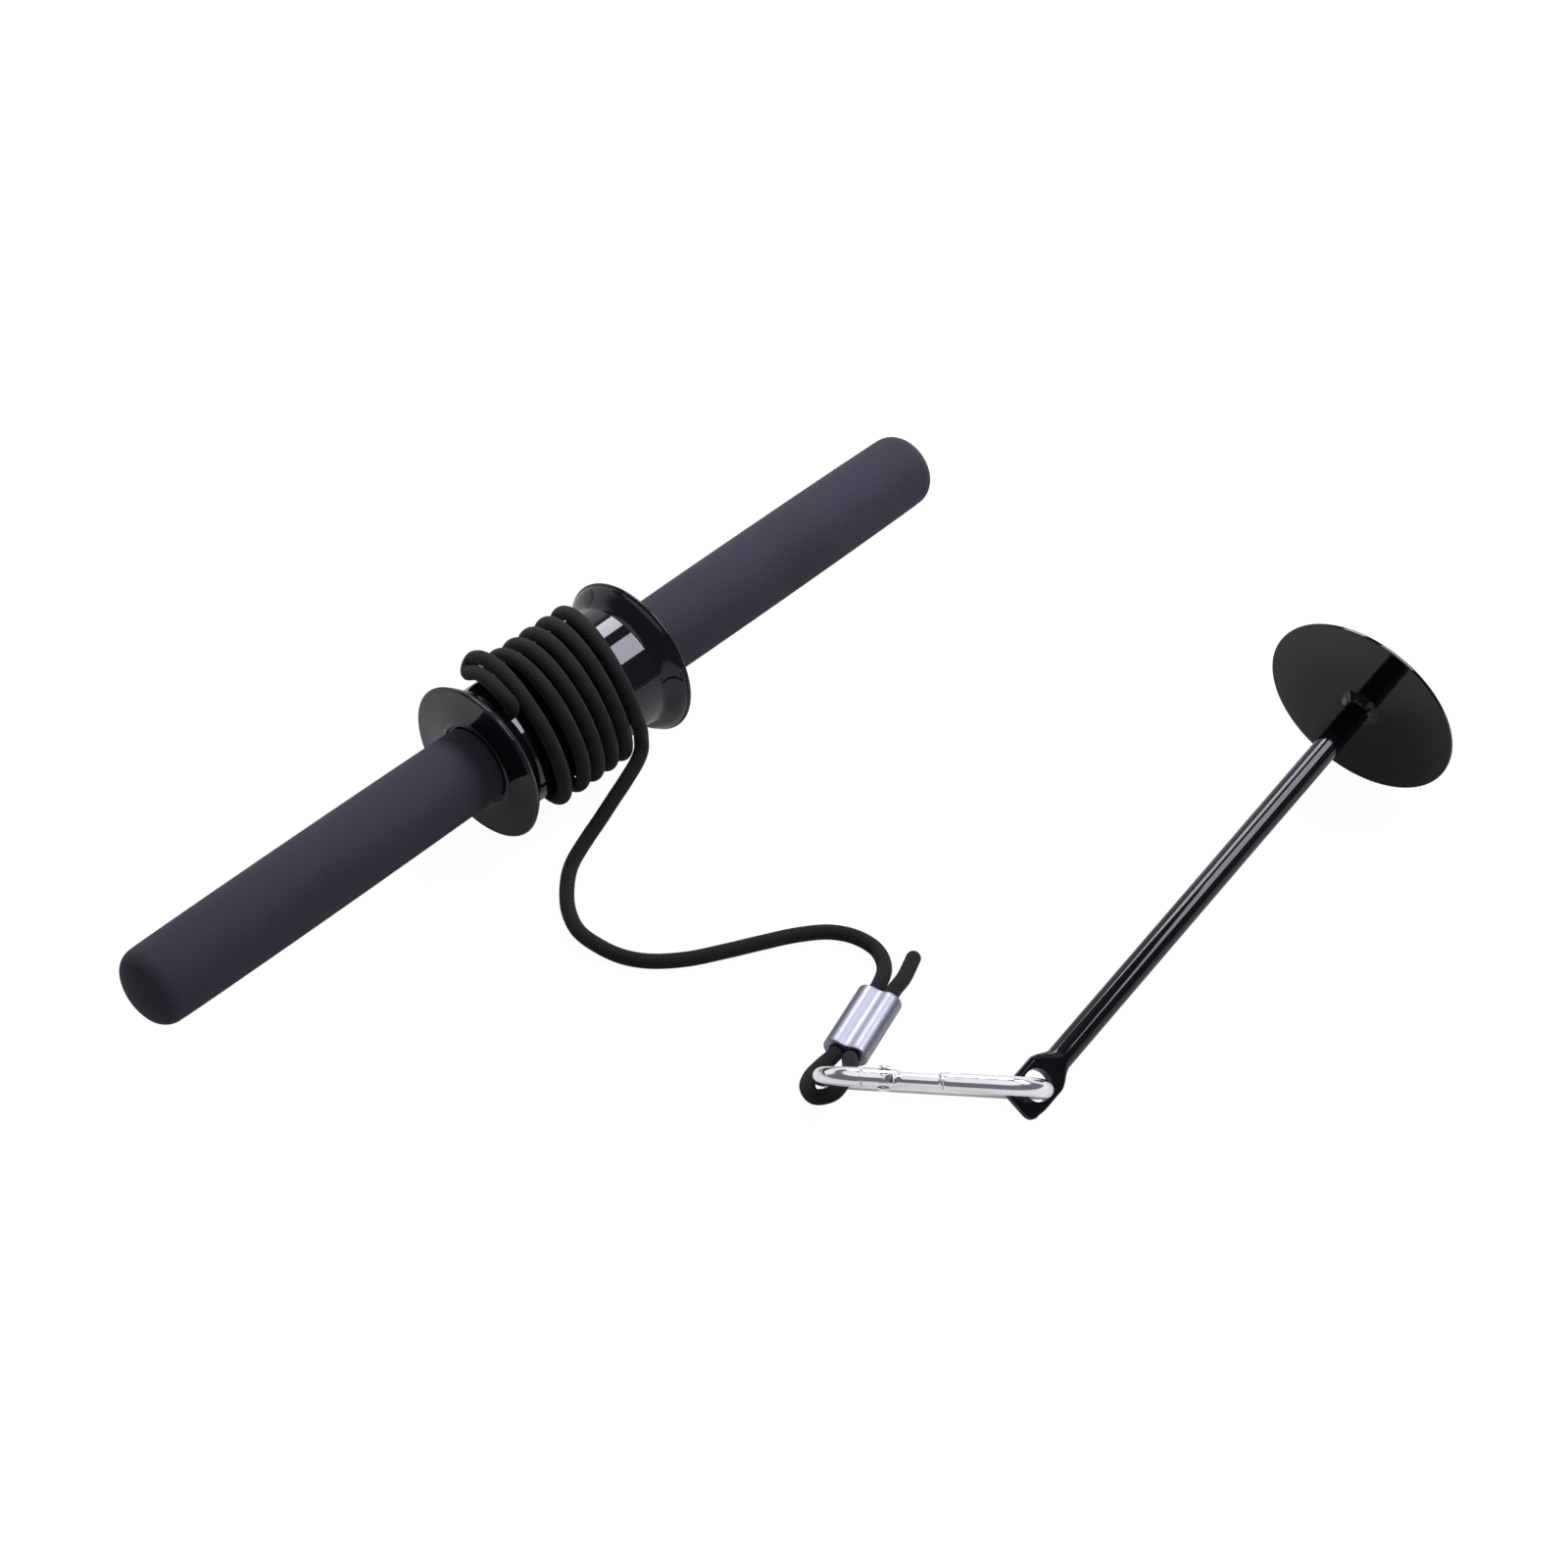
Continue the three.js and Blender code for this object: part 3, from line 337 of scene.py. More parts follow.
def turned(name, profile, segments, matrix, closed=False, angle=40):
    """A turned piece: profile gives (along, radius) in millimetres about the matrix's X axis."""
    merge_distance = 1e-7
    profile = list(profile) + ([profile[0]] if closed else [])
    angles = np.linspace(0, 2 * math.pi, segments, endpoint=False)
    rows = []
    for along, radius in profile:
        ring = [(along * MM, radius * MM * math.cos(a), radius * MM * math.sin(a)) for a in angles]
        rows.append(ring)
    mesh = grid_mesh(name, rows, True)
    bm = bmesh.new()
    bm.from_mesh(mesh)
    bmesh.ops.remove_doubles(bm, verts=bm.verts, dist=merge_distance)
    bmesh.ops.dissolve_degenerate(bm, edges=bm.edges, dist=merge_distance / 10)
    bmesh.ops.recalc_face_normals(bm, faces=bm.faces)
    bm.to_mesh(mesh)
    bm.free()
    mesh.transform(matrix)
    return smooth(add_object(name, mesh), angle)


def carve(piece, cutters, angle=40):
    """Cuts the cutters out of the piece and removes them."""
    for cutter in cutters:
        modifier = piece.modifiers.new("cut", "BOOLEAN")
        modifier.object = cutter
        modifier.operation = "DIFFERENCE"
        modifier.solver = "EXACT"
    evaluated = piece.evaluated_get(bpy.context.evaluated_depsgraph_get())
    mesh = bpy.data.meshes.new_from_object(evaluated)
    piece.modifiers.clear()
    piece.data = mesh
    for cutter in cutters:
        bpy.data.objects.remove(cutter)
    return smooth(piece, angle)


def join(piece, others, angle=35):
    """Puts the other pieces' meshes into the piece's mesh."""
    bm = bmesh.new()
    for source in [piece, *others]:
        bm.from_mesh(source.data)
    bm.to_mesh(piece.data)
    bm.free()
    for other in others:
        bpy.data.objects.remove(other)
    return smooth(piece, angle)


def bevel_edges(piece, width, angle=50, segments=3):
    """Rounds the edges whose faces meet at more than the angle."""
    bm = bmesh.new()
    bm.from_mesh(piece.data)
    sharp = [edge for edge in bm.edges
             if edge.is_manifold and edge.calc_face_angle() > math.radians(angle)]
    bmesh.ops.bevel(bm, geom=sharp, offset=width * MM, segments=segments, affect="EDGES",
                    clamp_overlap=True)
    bm.to_mesh(piece.data)
    bm.free()


def block(low, high, matrix):
    """A box between two corners in millimetres, in the matrix's frame."""
    bm = bmesh.new()
    bmesh.ops.create_cube(bm, size=1)
    for vertex in bm.verts:
        for axis in range(3):
            share = vertex.co[axis] + 0.5
            vertex.co[axis] = (low[axis] + (high[axis] - low[axis]) * share) * MM
    mesh = bpy.data.meshes.new("block")
    bm.to_mesh(mesh)
    bm.free()
    mesh.transform(matrix)
    return add_object("block", mesh)


def rod_cutter(radius, low, high, matrix):
    """A cylinder about the matrix's X axis, used to cut."""
    profile = [(low, 0), (low, radius), (high, radius), (high, 0)]
    return turned("rod_cutter", profile, ROD_FACES, matrix)


def rounded(corners, radii, points=6):
    """A profile whose corners are rounded, each to its own radius."""
    corners = [np.array(corner, float) for corner in corners]
    result = [tuple(corners[0])]
    for before, corner, after, radius in zip(corners, corners[1:], corners[2:], radii):
        back = before - corner
        ahead = after - corner
        reach = min(radius, np.linalg.norm(back) / 2, np.linalg.norm(ahead) / 2)
        first = corner + back / np.linalg.norm(back) * reach
        last = corner + ahead / np.linalg.norm(ahead) * reach
        for share in np.linspace(0, 1, points):
            inner = first * (1 - share) ** 2 + corner * 2 * share * (1 - share)
            result.append(tuple(inner + last * share ** 2))
    result.append(tuple(corners[-1]))
    return result


def ease(share):
    share = np.clip(share, 0, 1)
    return share * share * (3 - 2 * share)


# Materials
def new_material(name, colour, roughness, metallic=0.0):
    material = bpy.data.materials.new(name)
    material.use_nodes = True
    tree = material.node_tree
    shader = tree.nodes["Principled BSDF"]
    shader.inputs["Base Color"].default_value = (*colour, 1)
    shader.inputs["Roughness"].default_value = roughness
    shader.inputs["Metallic"].default_value = metallic
    return material, tree, shader


def coordinates(tree, kind="Object"):
    return tree.nodes.new("ShaderNodeTexCoord").outputs[kind]


def noise(tree, vector, scale, detail, roughness=0.5):
    texture = tree.nodes.new("ShaderNodeTexNoise")
    texture.inputs["Scale"].default_value = scale
    texture.inputs["Detail"].default_value = detail
    texture.inputs["Roughness"].default_value = roughness
    tree.links.new(vector, texture.inputs["Vector"])
    return texture.outputs["Fac"]


def cells(tree, vector, scale):
    texture = tree.nodes.new("ShaderNodeTexVoronoi")
    texture.inputs["Scale"].default_value = scale
    tree.links.new(vector, texture.inputs["Vector"])
    return texture.outputs["Distance"]


def stretched(tree, vector, scale):
    mapping = tree.nodes.new("ShaderNodeMapping")
    mapping.inputs["Scale"].default_value = scale
    tree.links.new(vector, mapping.inputs["Vector"])
    return mapping.outputs["Vector"]


def math_node(tree, operation, first, second=None):
    node = tree.nodes.new("ShaderNodeMath")
    node.operation = operation
    for socket, value in zip(node.inputs, (first, second)):
        if value is None:
            continue
        if isinstance(value, (int, float)):
            socket.default_value = value
        else:
            tree.links.new(value, socket)
    return node.outputs[0]


def spread(tree, value, low, high):
    """The value, from 0 to 1, spread between two numbers."""
    node = tree.nodes.new("ShaderNodeMapRange")
    node.inputs["To Min"].default_value = low
    node.inputs["To Max"].default_value = high
    tree.links.new(value, node.inputs["Value"])
    return node.outputs["Result"]


def soft_step(tree, value, start, end):
    """0 where the value is at start, 1 where it is at end, with a smooth ramp between."""
    node = tree.nodes.new("ShaderNodeMapRange")
    node.interpolation_type = "SMOOTHSTEP"
    node.inputs["From Min"].default_value = start
    node.inputs["From Max"].default_value = end
    tree.links.new(value, node.inputs["Value"])
    return node.outputs["Result"]


def between(tree, value, low_colour, high_colour, low=0.3, high=0.7):
    """A colour between two, by a value that runs from low to high."""
    node = tree.nodes.new("ShaderNodeValToRGB")
    node.color_ramp.elements[0].position = low
    node.color_ramp.elements[0].color = (*low_colour, 1)
    node.color_ramp.elements[1].position = high
    node.color_ramp.elements[1].color = (*high_colour, 1)
    tree.links.new(value, node.inputs["Fac"])
    return node.outputs["Color"]


def add_bump(tree, shader, height, strength, distance):
    node = tree.nodes.new("ShaderNodeBump")
    node.inputs["Strength"].default_value = strength
    node.inputs["Distance"].default_value = distance
    tree.links.new(height, node.inputs["Height"])
    if shader.inputs["Normal"].is_linked:
        tree.links.new(shader.inputs["Normal"].links[0].from_socket, node.inputs["Normal"])
    tree.links.new(node.outputs["Normal"], shader.inputs["Normal"])


def foam_material():
    """Dark foam: soft patches of tone, a shallow dent or two and fine cells."""
    material, tree, shader = new_material("foam", (0.043, 0.039, 0.063), roughness=0.9)
    where = coordinates(tree)
    patches = noise(tree, where, scale=22, detail=4)
    colour = between(tree, patches, (0.036, 0.033, 0.053), (0.049, 0.045, 0.073))
    tree.links.new(colour, shader.inputs["Base Color"])
    tree.links.new(spread(tree, patches, low=0.8, high=0.96), shader.inputs["Roughness"])
    shader.inputs["Sheen Weight"].default_value = 0.06
    shader.inputs["Sheen Roughness"].default_value = 0.5
    shader.inputs["Specular IOR Level"].default_value = 0.3
    dents = noise(tree, where, scale=60, detail=2)
    add_bump(tree, shader, dents, strength=0.25, distance=0.0006)
    add_bump(tree, shader, cells(tree, where, scale=1700), strength=0.35, distance=0.00025)
    return material


def cord_material():
    """A braid: two families of strands wind round the cord in opposite directions."""
    strands_round = 12
    strands_per_metre = 620
    fibre_stretch = (60, 900, 1)
    material, tree, shader = new_material("braid", (0.012, 0.0115, 0.0125), roughness=0.85)
    split = tree.nodes.new("ShaderNodeSeparateXYZ")
    tree.links.new(coordinates(tree, "UV"), split.inputs["Vector"])
    across = math_node(tree, "MULTIPLY", split.outputs["X"], strands_round)
    along = math_node(tree, "MULTIPLY", split.outputs["Y"], strands_per_metre)
    strands = []
    for operation in ("ADD", "SUBTRACT"):
        turn = math_node(tree, "FRACT", math_node(tree, operation, across, along))
        centred = math_node(tree, "ABSOLUTE", math_node(tree, "SUBTRACT", turn, 0.5))
        strands.append(math_node(tree, "SUBTRACT", 1.0, math_node(tree, "MULTIPLY", centred, 2)))
    weave = math_node(tree, "MAXIMUM", *strands)
    fibres = noise(tree, stretched(tree, coordinates(tree, "UV"), fibre_stretch), scale=1, detail=3)
    height = math_node(tree, "ADD", weave, math_node(tree, "MULTIPLY", fibres, 0.5))
    # Colour by height: darker in the grooves between strands is painted shade; the fibre noise adds real
    # random tone
    colour = between(tree, height, (0.0048, 0.0045, 0.006), (0.0165, 0.0152, 0.0195),
                     low=0.55, high=1.3)
    tree.links.new(colour, shader.inputs["Base Color"])
    tree.links.new(spread(tree, fibres, low=0.7, high=0.95), shader.inputs["Roughness"])
    shader.inputs["Sheen Weight"].default_value = 0.08
    shader.inputs["Sheen Roughness"].default_value = 0.4
    shader.inputs["Specular IOR Level"].default_value = 0.22
    add_bump(tree, shader, height, strength=0.6, distance=0.0005)
    return material


def gloss_material(name, ripple, speck, level):
    """Black moulded or sprayed gloss: a faint long ripple, and specks of dust that catch light."""
    material, tree, shader = new_material(name, (0.0045, 0.0043, 0.0055), roughness=0.05)
    where = coordinates(tree)
    haze = noise(tree, where, scale=35, detail=4)
    tree.links.new(spread(tree, haze, low=0.03, high=0.075), shader.inputs["Roughness"])
    colour = between(tree, haze, (0.0035, 0.0034, 0.0045), (0.0062, 0.006, 0.0075))
    tree.links.new(colour, shader.inputs["Base Color"])
    shader.inputs["Specular IOR Level"].default_value = level
    shader.inputs["Specular Tint"].default_value = (0.86, 0.84, 1, 1)
    waves = noise(tree, where, scale=ripple, detail=1)
    add_bump(tree, shader, waves, strength=0.08, distance=0.0004)
    add_bump(tree, shader, cells(tree, where, scale=speck), strength=0.02, distance=0.00008)
    return material


def metal_material(name, colour, roughness, grain, relief=0.12):
    """Bare or plated metal, a little darker, rougher and deeper in its streaks."""
    material, tree, shader = new_material(name, colour, roughness, metallic=1.0)
    streaks = noise(tree, coordinates(tree), scale=grain, detail=4, roughness=0.6)
    low = tuple(channel * 0.86 for channel in colour)
    tree.links.new(between(tree, streaks, low, colour), shader.inputs["Base Color"])
    haze = spread(tree, streaks, low=roughness * 0.7, high=roughness * 1.4)
    tree.links.new(haze, shader.inputs["Roughness"])
    add_bump(tree, shader, streaks, strength=relief, distance=0.00015)
    return material


def plastic_material():
    material, tree, shader = new_material("plug_plastic", (0.03, 0.03, 0.033), roughness=0.55)
    grain = noise(tree, coordinates(tree), scale=900, detail=2)
    colour = between(tree, grain, (0.024, 0.024, 0.027), (0.035, 0.035, 0.038))
    tree.links.new(colour, shader.inputs["Base Color"])
    tree.links.new(spread(tree, grain, low=0.45, high=0.65), shader.inputs["Roughness"])
    add_bump(tree, shader, grain, strength=0.2, distance=0.0001)
    return material


FOAM = foam_material()
BRAID = cord_material()
SPOOL_GLOSS = gloss_material("spool_gloss", ripple=55, speck=900, level=0.5)
PIN_GLOSS = gloss_material("pin_gloss", ripple=90, speck=1300, level=0.32)
ALUMINIUM = metal_material("pressed_aluminium", (0.3, 0.3, 0.385), roughness=0.4, grain=260)
CHROME = metal_material("bright_plate", (0.9, 0.905, 0.94), roughness=0.11, grain=60, relief=0.01)
STEEL = metal_material("plain_steel", (0.5, 0.5, 0.52), roughness=0.3, grain=400)
PLUG = plastic_material()


def finish_piece(piece, body, material, nodes):
    """Gives a piece its material and body, and hides the imported solids that it stands for."""
    piece.data.materials.clear()
    piece.data.materials.append(material)
    if "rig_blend" not in piece:
        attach(piece, body)
    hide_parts(*nodes)
    return piece


# Cord: the turns on the drum
def curve_through(route, spacing):
    """A centripetal Catmull-Rom curve through the points, at an even spacing."""
    samples = 24
    route = [np.array(point, float) for point in route]
    padded = [2 * route[0] - route[1], *route, 2 * route[-1] - route[-2]]
    fine = []
    for a, b, c, d in zip(padded, padded[1:], padded[2:], padded[3:]):
        knots = [0.0]
        for first, second in ((a, b), (b, c), (c, d)):
            knots.append(knots[-1] + max(np.linalg.norm(second - first), TINY) ** 0.5)
        for t in np.linspace(knots[1], knots[2], samples, endpoint=False):
            ab = a + (b - a) * (t - knots[0]) / (knots[1] - knots[0])
            bc = b + (c - b) * (t - knots[1]) / (knots[2] - knots[1])
            cd = c + (d - c) * (t - knots[2]) / (knots[3] - knots[2])
            abc = ab + (bc - ab) * (t - knots[0]) / (knots[2] - knots[0])
            bcd = bc + (cd - bc) * (t - knots[1]) / (knots[3] - knots[1])
            fine.append(abc + (bcd - abc) * (t - knots[1]) / (knots[2] - knots[1]))
    fine.append(route[-1])
    fine = np.array(fine)
    along = np.concatenate([[0], np.cumsum(np.linalg.norm(np.diff(fine, axis=0), axis=1))])
    places = np.linspace(0, along[-1], int(along[-1] / spacing) + 1)
    return np.stack([np.interp(places, along, fine[:, axis]) for axis in range(3)], axis=1)


LAST_ANGLE = 360 * TURNS + ANCHOR_ANGLE
LEG_END = LAST_ANGLE - LEG_ANGLE
LEG_RADIUS = WINDING_RADIUS + LEG_RISE
DIVE_RADIUS = LEG_RADIUS - DRUM_RADIUS - GAP - DIVE_STRAIGHT


def turn_x(degrees):
    """Where the wound cord lies along the bar: it steps on with each turn, leans and spreads."""
    turns = (degrees - LEAN_PHASE) / 360
    spread_out = LAST_SPREAD * ease((degrees - LAST_ANGLE + SPREAD_START) / SPREAD_RAMP)
    lean = TURN_LEAN - LEAN_LOSS * turns + spread_out / 2
    return (LAST_TURN_X - TURN_PITCH * turns - spread_out
            + lean * (1 - math.cos(2 * math.pi * turns)))


def turn_lift(degrees):
    """How far the last turn rises off the drum, to cross over the cord's end."""
    return ANCHOR_RISE * ease((degrees - LAST_ANGLE) / ANCHOR_RISE_ANGLE + 1)


def leg_x(degrees):
    """Where the cord's end lies along the bar, beside and partly under the last turn."""
    rise = turn_lift(degrees) - LEG_RISE
    return turn_x(degrees) - math.sqrt(LEG_SPACING ** 2 - rise ** 2)


ANCHOR_X = leg_x(LEG_END)


def wound_cord():
    """The cord on the drum, from where it leaves to the end of its last turn."""
    line = []
    for degrees in np.arange(LEAVE_ANGLE, LAST_ANGLE - CAD_STEP / 2, TURN_STEP):
        radius = WINDING_RADIUS + turn_lift(degrees)
        line.append(on_bar(turn_x(degrees), radius, math.radians(degrees)))
    return line


def anchor_line(before):
    """The cord's end: back in half a circle, along under the last turn, down into the drum."""
    angle = math.radians(LAST_ANGLE)
    top = on_bar(turn_x(LAST_ANGLE), WINDING_RADIUS + ANCHOR_RISE, angle)
    low = on_bar(leg_x(LAST_ANGLE), LEG_RADIUS, angle)
    half = (top - low) / 2
    onward = np.array([0, math.cos(angle), -math.sin(angle)]) * np.linalg.norm(half)
    route = [before]
    for turn in np.linspace(0, math.pi, U_TURN_STEPS + 1):
        route.append((top + low) / 2 + half * math.cos(turn) + onward * math.sin(turn))
    for degrees in np.arange(LAST_ANGLE - CAD_STEP, LEG_END - CAD_STEP / 2, -CAD_STEP):
        route.append(on_bar(leg_x(degrees), LEG_RADIUS, math.radians(degrees)))
    for turn in np.linspace(0, math.pi / 2, DIVE_STEPS + 1)[1:]:
        back = DIVE_RADIUS * math.sin(turn) / DRUM_RADIUS
        radius = LEG_RADIUS - DIVE_RADIUS * (1 - math.cos(turn))
        route.append(on_bar(ANCHOR_X, radius, math.radians(LEG_END) - back))
    route.append(on_bar(ANCHOR_X, DRUM_RADIUS - DIVE_DEPTH, math.radians(LEG_END) - back))
    return curve_through(route, POINT_SPACING * MM)[1:]


winding = wound_cord()
winding += list(anchor_line(winding[-1]))
leaving = winding[0] - winding[1]
leaving /= np.linalg.norm(leaving)
free_start = winding[0] + leaving * 2 * CORD_RADIUS * MM
winding.insert(0, winding[0] + leaving * CORD_RADIUS * MM)
winding.insert(0, free_start)
cord_turns = tube("cord_turns", winding, CORD_RADIUS * MM, CORD_FACES, ALONG_BAR, (False, True))


# Cord: the free part, in one line from the drum to its cut end
ferrule_along = np.array([math.cos(math.radians(FERRULE_HEADING)),
                          math.sin(math.radians(FERRULE_HEADING)), 0])
ferrule_across = np.array([ferrule_along[1], -ferrule_along[0], 0])
ferrule_top = floor_point(*FERRULE_TOP, FERRULE_RADIUS)


def beside_ferrule(along, across, up):
    """A point counted from the middle of the sleeve's upper end."""
    place = ferrule_along * along + ferrule_across * across + np.array([0, 0, up])
    return ferrule_top + place * MM


# The free cord from the drum to the sleeve, the eye below it, and the cut end above it
LEAD = [
    (16.8, -31.1, 26.4), (15.6, -32.2, 21.4), (11.9, -33.6, 18.6), (4, -35, 14.6),
    (-5.6, -36.6, 10.8), (-14.8, -38.2, 7.2), (-24, -40, 4.4), (-36.9, -44.8, 3.1),
    (-46.9, -52.4, 3.1), (-55.4, -62, 3.1), (-60.3, -72.3, 3.1), (-60.7, -83.3, 3.1),
    (-58.6, -94, 3.1), (-53.3, -103.4, 3.1), (-42.9, -113.1, 3.1), (-30.1, -120.9, 3.1),
    (-16.9, -128.2, 3.1), (-4.1, -135.8, 3.1), (5.2, -143.8, 3.1), (9.8, -152.8, 3.1),
    (10, -163.2, 3.3), (4.6, -172, 4),
]
EYE = [
    (1, LOBE, 0), (4, 3.5, 0.1), (10, 5, 0.4), (16.8, 5.9, 1.1), (22.9, 4.5, 2.1),
    (27.3, -0.9, 3.9), (24.9, -6.8, 6.3), (18.3, -8.2, 7.9), (11.6, -7.4, 7.2), (6, -4.7, 4.9),
    (3.2, -3.5, 1.5), (1, -LOBE, 0),
]
TAIL = [(5.4, -181, 3.9), (19, -175.2, 3.1)]


def free_route():
    inside = (-2 * CORD_RADIUS, 0, FERRULE_LENGTH / 2, FERRULE_LENGTH)
    route = [free_start, free_start + leaving * CORD_RADIUS * MM]
    route += [floor_point(*place) for place in LEAD]
    route += [beside_ferrule(along, LOBE, 0) for along in inside]
    route += [beside_ferrule(FERRULE_LENGTH + along, across, up) for along, across, up in EYE]
    route += [beside_ferrule(along, -LOBE, 0) for along in reversed(inside)]
    return route + [floor_point(*place) for place in TAIL]


def round_ended(line, radius):
    """The line with closer points at its end, and radii that close it in half a ball."""
    along = np.concatenate([[0], np.cumsum(np.linalg.norm(np.diff(line, axis=0), axis=1))])
    angles = np.linspace(0, math.pi / 2, TIP_STEPS + 1)
    cap = along[-1] - radius * (1 - np.sin(angles))
    places = np.concatenate([along[along < cap[0] - radius / TIP_STEPS], cap])
    points = np.stack([np.interp(places, along, line[:, axis]) for axis in range(3)], axis=1)
    radii = np.full(len(places), radius)
    radii[-len(angles):] *= np.maximum(np.cos(angles), TIP_SHARE)
    return points, radii


free_line = curve_through(free_route(), POINT_SPACING * MM)
cord_line = tube("cord_line", *round_ended(free_line, CORD_RADIUS * MM), CORD_FACES, ALONG_BAR,
                 (False, True))

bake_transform(cord_turns, "roller", "line",
         start=on_bar(turn_x(LAST_ANGLE) + CORD_RADIUS, 0, 0).tolist(),
         end=on_bar(LAST_TURN_X - 1, 0, 0).tolist())
finish_piece(cord_turns, "line", BRAID, ["cord_winding"])
finish_piece(cord_line, "line", BRAID, ["cord_lead", "cord_loop", "cord_tail"])


# Foam grips
def grip_profile():
    """From the bore's blind end out to the spool's side, along the grip and over its dome."""
    start = SPOOL_HALF + GAP
    end = OVERALL_LENGTH / 2
    bore = TUBE_RADIUS + GAP
    side = GRIP_RADIUS - GRIP_BULGE
    edge = GRIP_INNER_EDGE
    profile = [(end - GRIP_END + GAP, 0), (end - GRIP_END + GAP, bore), (start, bore)]
    profile += [(start + edge * (1 - math.cos(a)), side - edge * (1 - math.sin(a)))
                for a in np.linspace(0, math.pi / 2, INNER_EDGE_POINTS)]
    dome_reach = GRIP_DOME - GRIP_EDGE
    dome_middle = end - GRIP_DOME
    straight = dome_middle + math.sqrt(dome_reach ** 2 - (side - GRIP_EDGE) ** 2)
    for share in np.linspace(0, 1, GRIP_POINTS)[1:]:
        bulge = GRIP_BULGE * math.sin(math.pi * share) ** BULGE_POWER if share < 1 else 0
        profile.append((start + edge + (straight - start - edge) * share, side + bulge))
    dome_angle = math.acos((straight - dome_middle) / dome_reach)
    for angle in np.linspace(0, math.pi / 2 - dome_angle, GRIP_EDGE_POINTS)[1:]:
        profile.append((straight + GRIP_EDGE * math.sin(angle),
                        side - GRIP_EDGE * (1 - math.cos(angle))))
    for angle in np.linspace(dome_angle, 0, DOME_POINTS)[1:]:
        profile.append((dome_middle + GRIP_DOME * math.cos(angle), GRIP_DOME * math.sin(angle)))
    return profile


to_bar = Matrix.Translation(BAR)
to_near = to_bar @ Matrix.Rotation(math.pi, 4, "Z")
for name, matrix in (("near", to_near), ("far", to_bar)):
    grip = turned(f"foam_{name}", grip_profile(), GRIP_FACES, matrix, closed=True, angle=60)
    finish_piece(grip, "roller", FOAM, [f"grip_{name}"])


# Spool halves
def spool_profile():
    """From the seam's hub round the hollow, out over the drum and the flange, to the collar."""
    face = GAP / 2
    hub = TUBE_RADIUS + GAP
    cavity = DRUM_RADIUS - DRUM_WALL
    web = SPOOL_HALF - WEB_THICKNESS
    flare_start = SPOOL_HALF - FLARE_LENGTH - RIM_FACE
    flare_end = SPOOL_HALF - RIM_FACE
    lift = FLANGE_RADIUS - RIM_RADIUS - DRUM_RADIUS
    profile = [(face, hub), (face, hub + HUB_WALL), (web, hub + HUB_WALL), (web, cavity),
               (face, cavity), (face, DRUM_RADIUS - SEAM_EDGE), (face + SEAM_EDGE, DRUM_RADIUS)]
    for share in np.linspace(0, 1, FLARE_POINTS):
        profile.append((flare_start + (flare_end - flare_start) * share,
                        DRUM_RADIUS + lift * ease(share)))
    rim_x = SPOOL_HALF - RIM_RADIUS
    rim_radius = FLANGE_RADIUS - RIM_RADIUS
    for angle in np.linspace(RIM_WRAP_RADIANS, 0, RIM_POINTS):
        profile.append((rim_x + RIM_RADIUS * math.cos(angle),
                        rim_radius + RIM_RADIUS * math.sin(angle)))
    inner = GRIP_RADIUS + GAP
    outer = inner + COLLAR_WALL
    top = SPOOL_HALF + COLLAR_HEIGHT
    edge = COLLAR_EDGE
    profile += [(SPOOL_HALF, outer + 2 * edge), (SPOOL_HALF + 0.75 * edge, outer),
                (top - edge, outer - 1.5 * edge), (top, outer - 3 * edge),
                (top, inner + edge), (top - edge, inner), (SPOOL_HALF, inner), (SPOOL_HALF, hub)]
    return profile


spool_far = turned("spool_far", spool_profile(), SPOOL_FACES, to_bar, closed=True, angle=35)
recesses = []
for index in range(BOSS_COUNT):
    angle = math.radians(BOSS_TURN + 360 / BOSS_COUNT * index)
    across = BOSS_PLACE * math.cos(angle) * MM
    up = BOSS_PLACE * math.sin(angle) * MM
    recesses.append(rod_cutter(SCREW_HEAD_RADIUS + GAP, SPOOL_HALF - SCREW_HEAD_DEPTH - GAP,
                               SPOOL_HALF + 2 * OVERRUN,
                               to_bar @ Matrix.Translation((0, across, up))))
carve(spool_far, recesses, 35)
spool_near = turned("spool_near", spool_profile(), SPOOL_FACES, to_near, closed=True, angle=35)
finish_piece(spool_far, "roller", SPOOL_GLOSS, ["spool_half_far"])
finish_piece(spool_near, "roller", SPOOL_GLOSS, ["spool_half_near"])


# Sleeve on the cord: a figure-eight section, pressed in a little at the waist
def sleeve_outline():
    outer = LOBE + FERRULE_SIDE_WALL - FERRULE_WALL
    outline = []
    for index in range(SLEEVE_FACES):
        angle = index / SLEEVE_FACES * 2 * math.pi
        across = (outer + FERRULE_RADIUS) * math.cos(angle)
        side = 1 if math.sin(angle) >= 0 else -1
        if abs(across) >= outer:
            up = math.sqrt(max(FERRULE_RADIUS ** 2 - (abs(across) - outer) ** 2, 0))
        else:
            dip = 0.5 + 0.5 * math.cos(math.pi * across / outer)
            up = FERRULE_RADIUS * (1 - (1 - FERRULE_WAIST_SHARE) * dip)
        outline.append((across, side * up))
    return outline


def bore_outline(centre):
    radius = CORD_RADIUS + GAP
    return [(centre + radius * math.cos(a), radius * math.sin(a))
            for a in np.linspace(0, 2 * math.pi, BORE_FACES, endpoint=False)]


def sleeve_stations():
    """Places along the sleeve, each with its section's scale: the ends are drawn in."""
    first = [(FERRULE_EDGE * along, scale) for along, scale in FERRULE_EDGE_SHARES]
    shares = np.linspace(0.05, 0.95, SLEEVE_POINTS)
    middle = [(FERRULE_LENGTH * share, 1) for share in shares]
    last = [(FERRULE_LENGTH - along, scale) for along, scale in reversed(first)]
    return first + middle + last


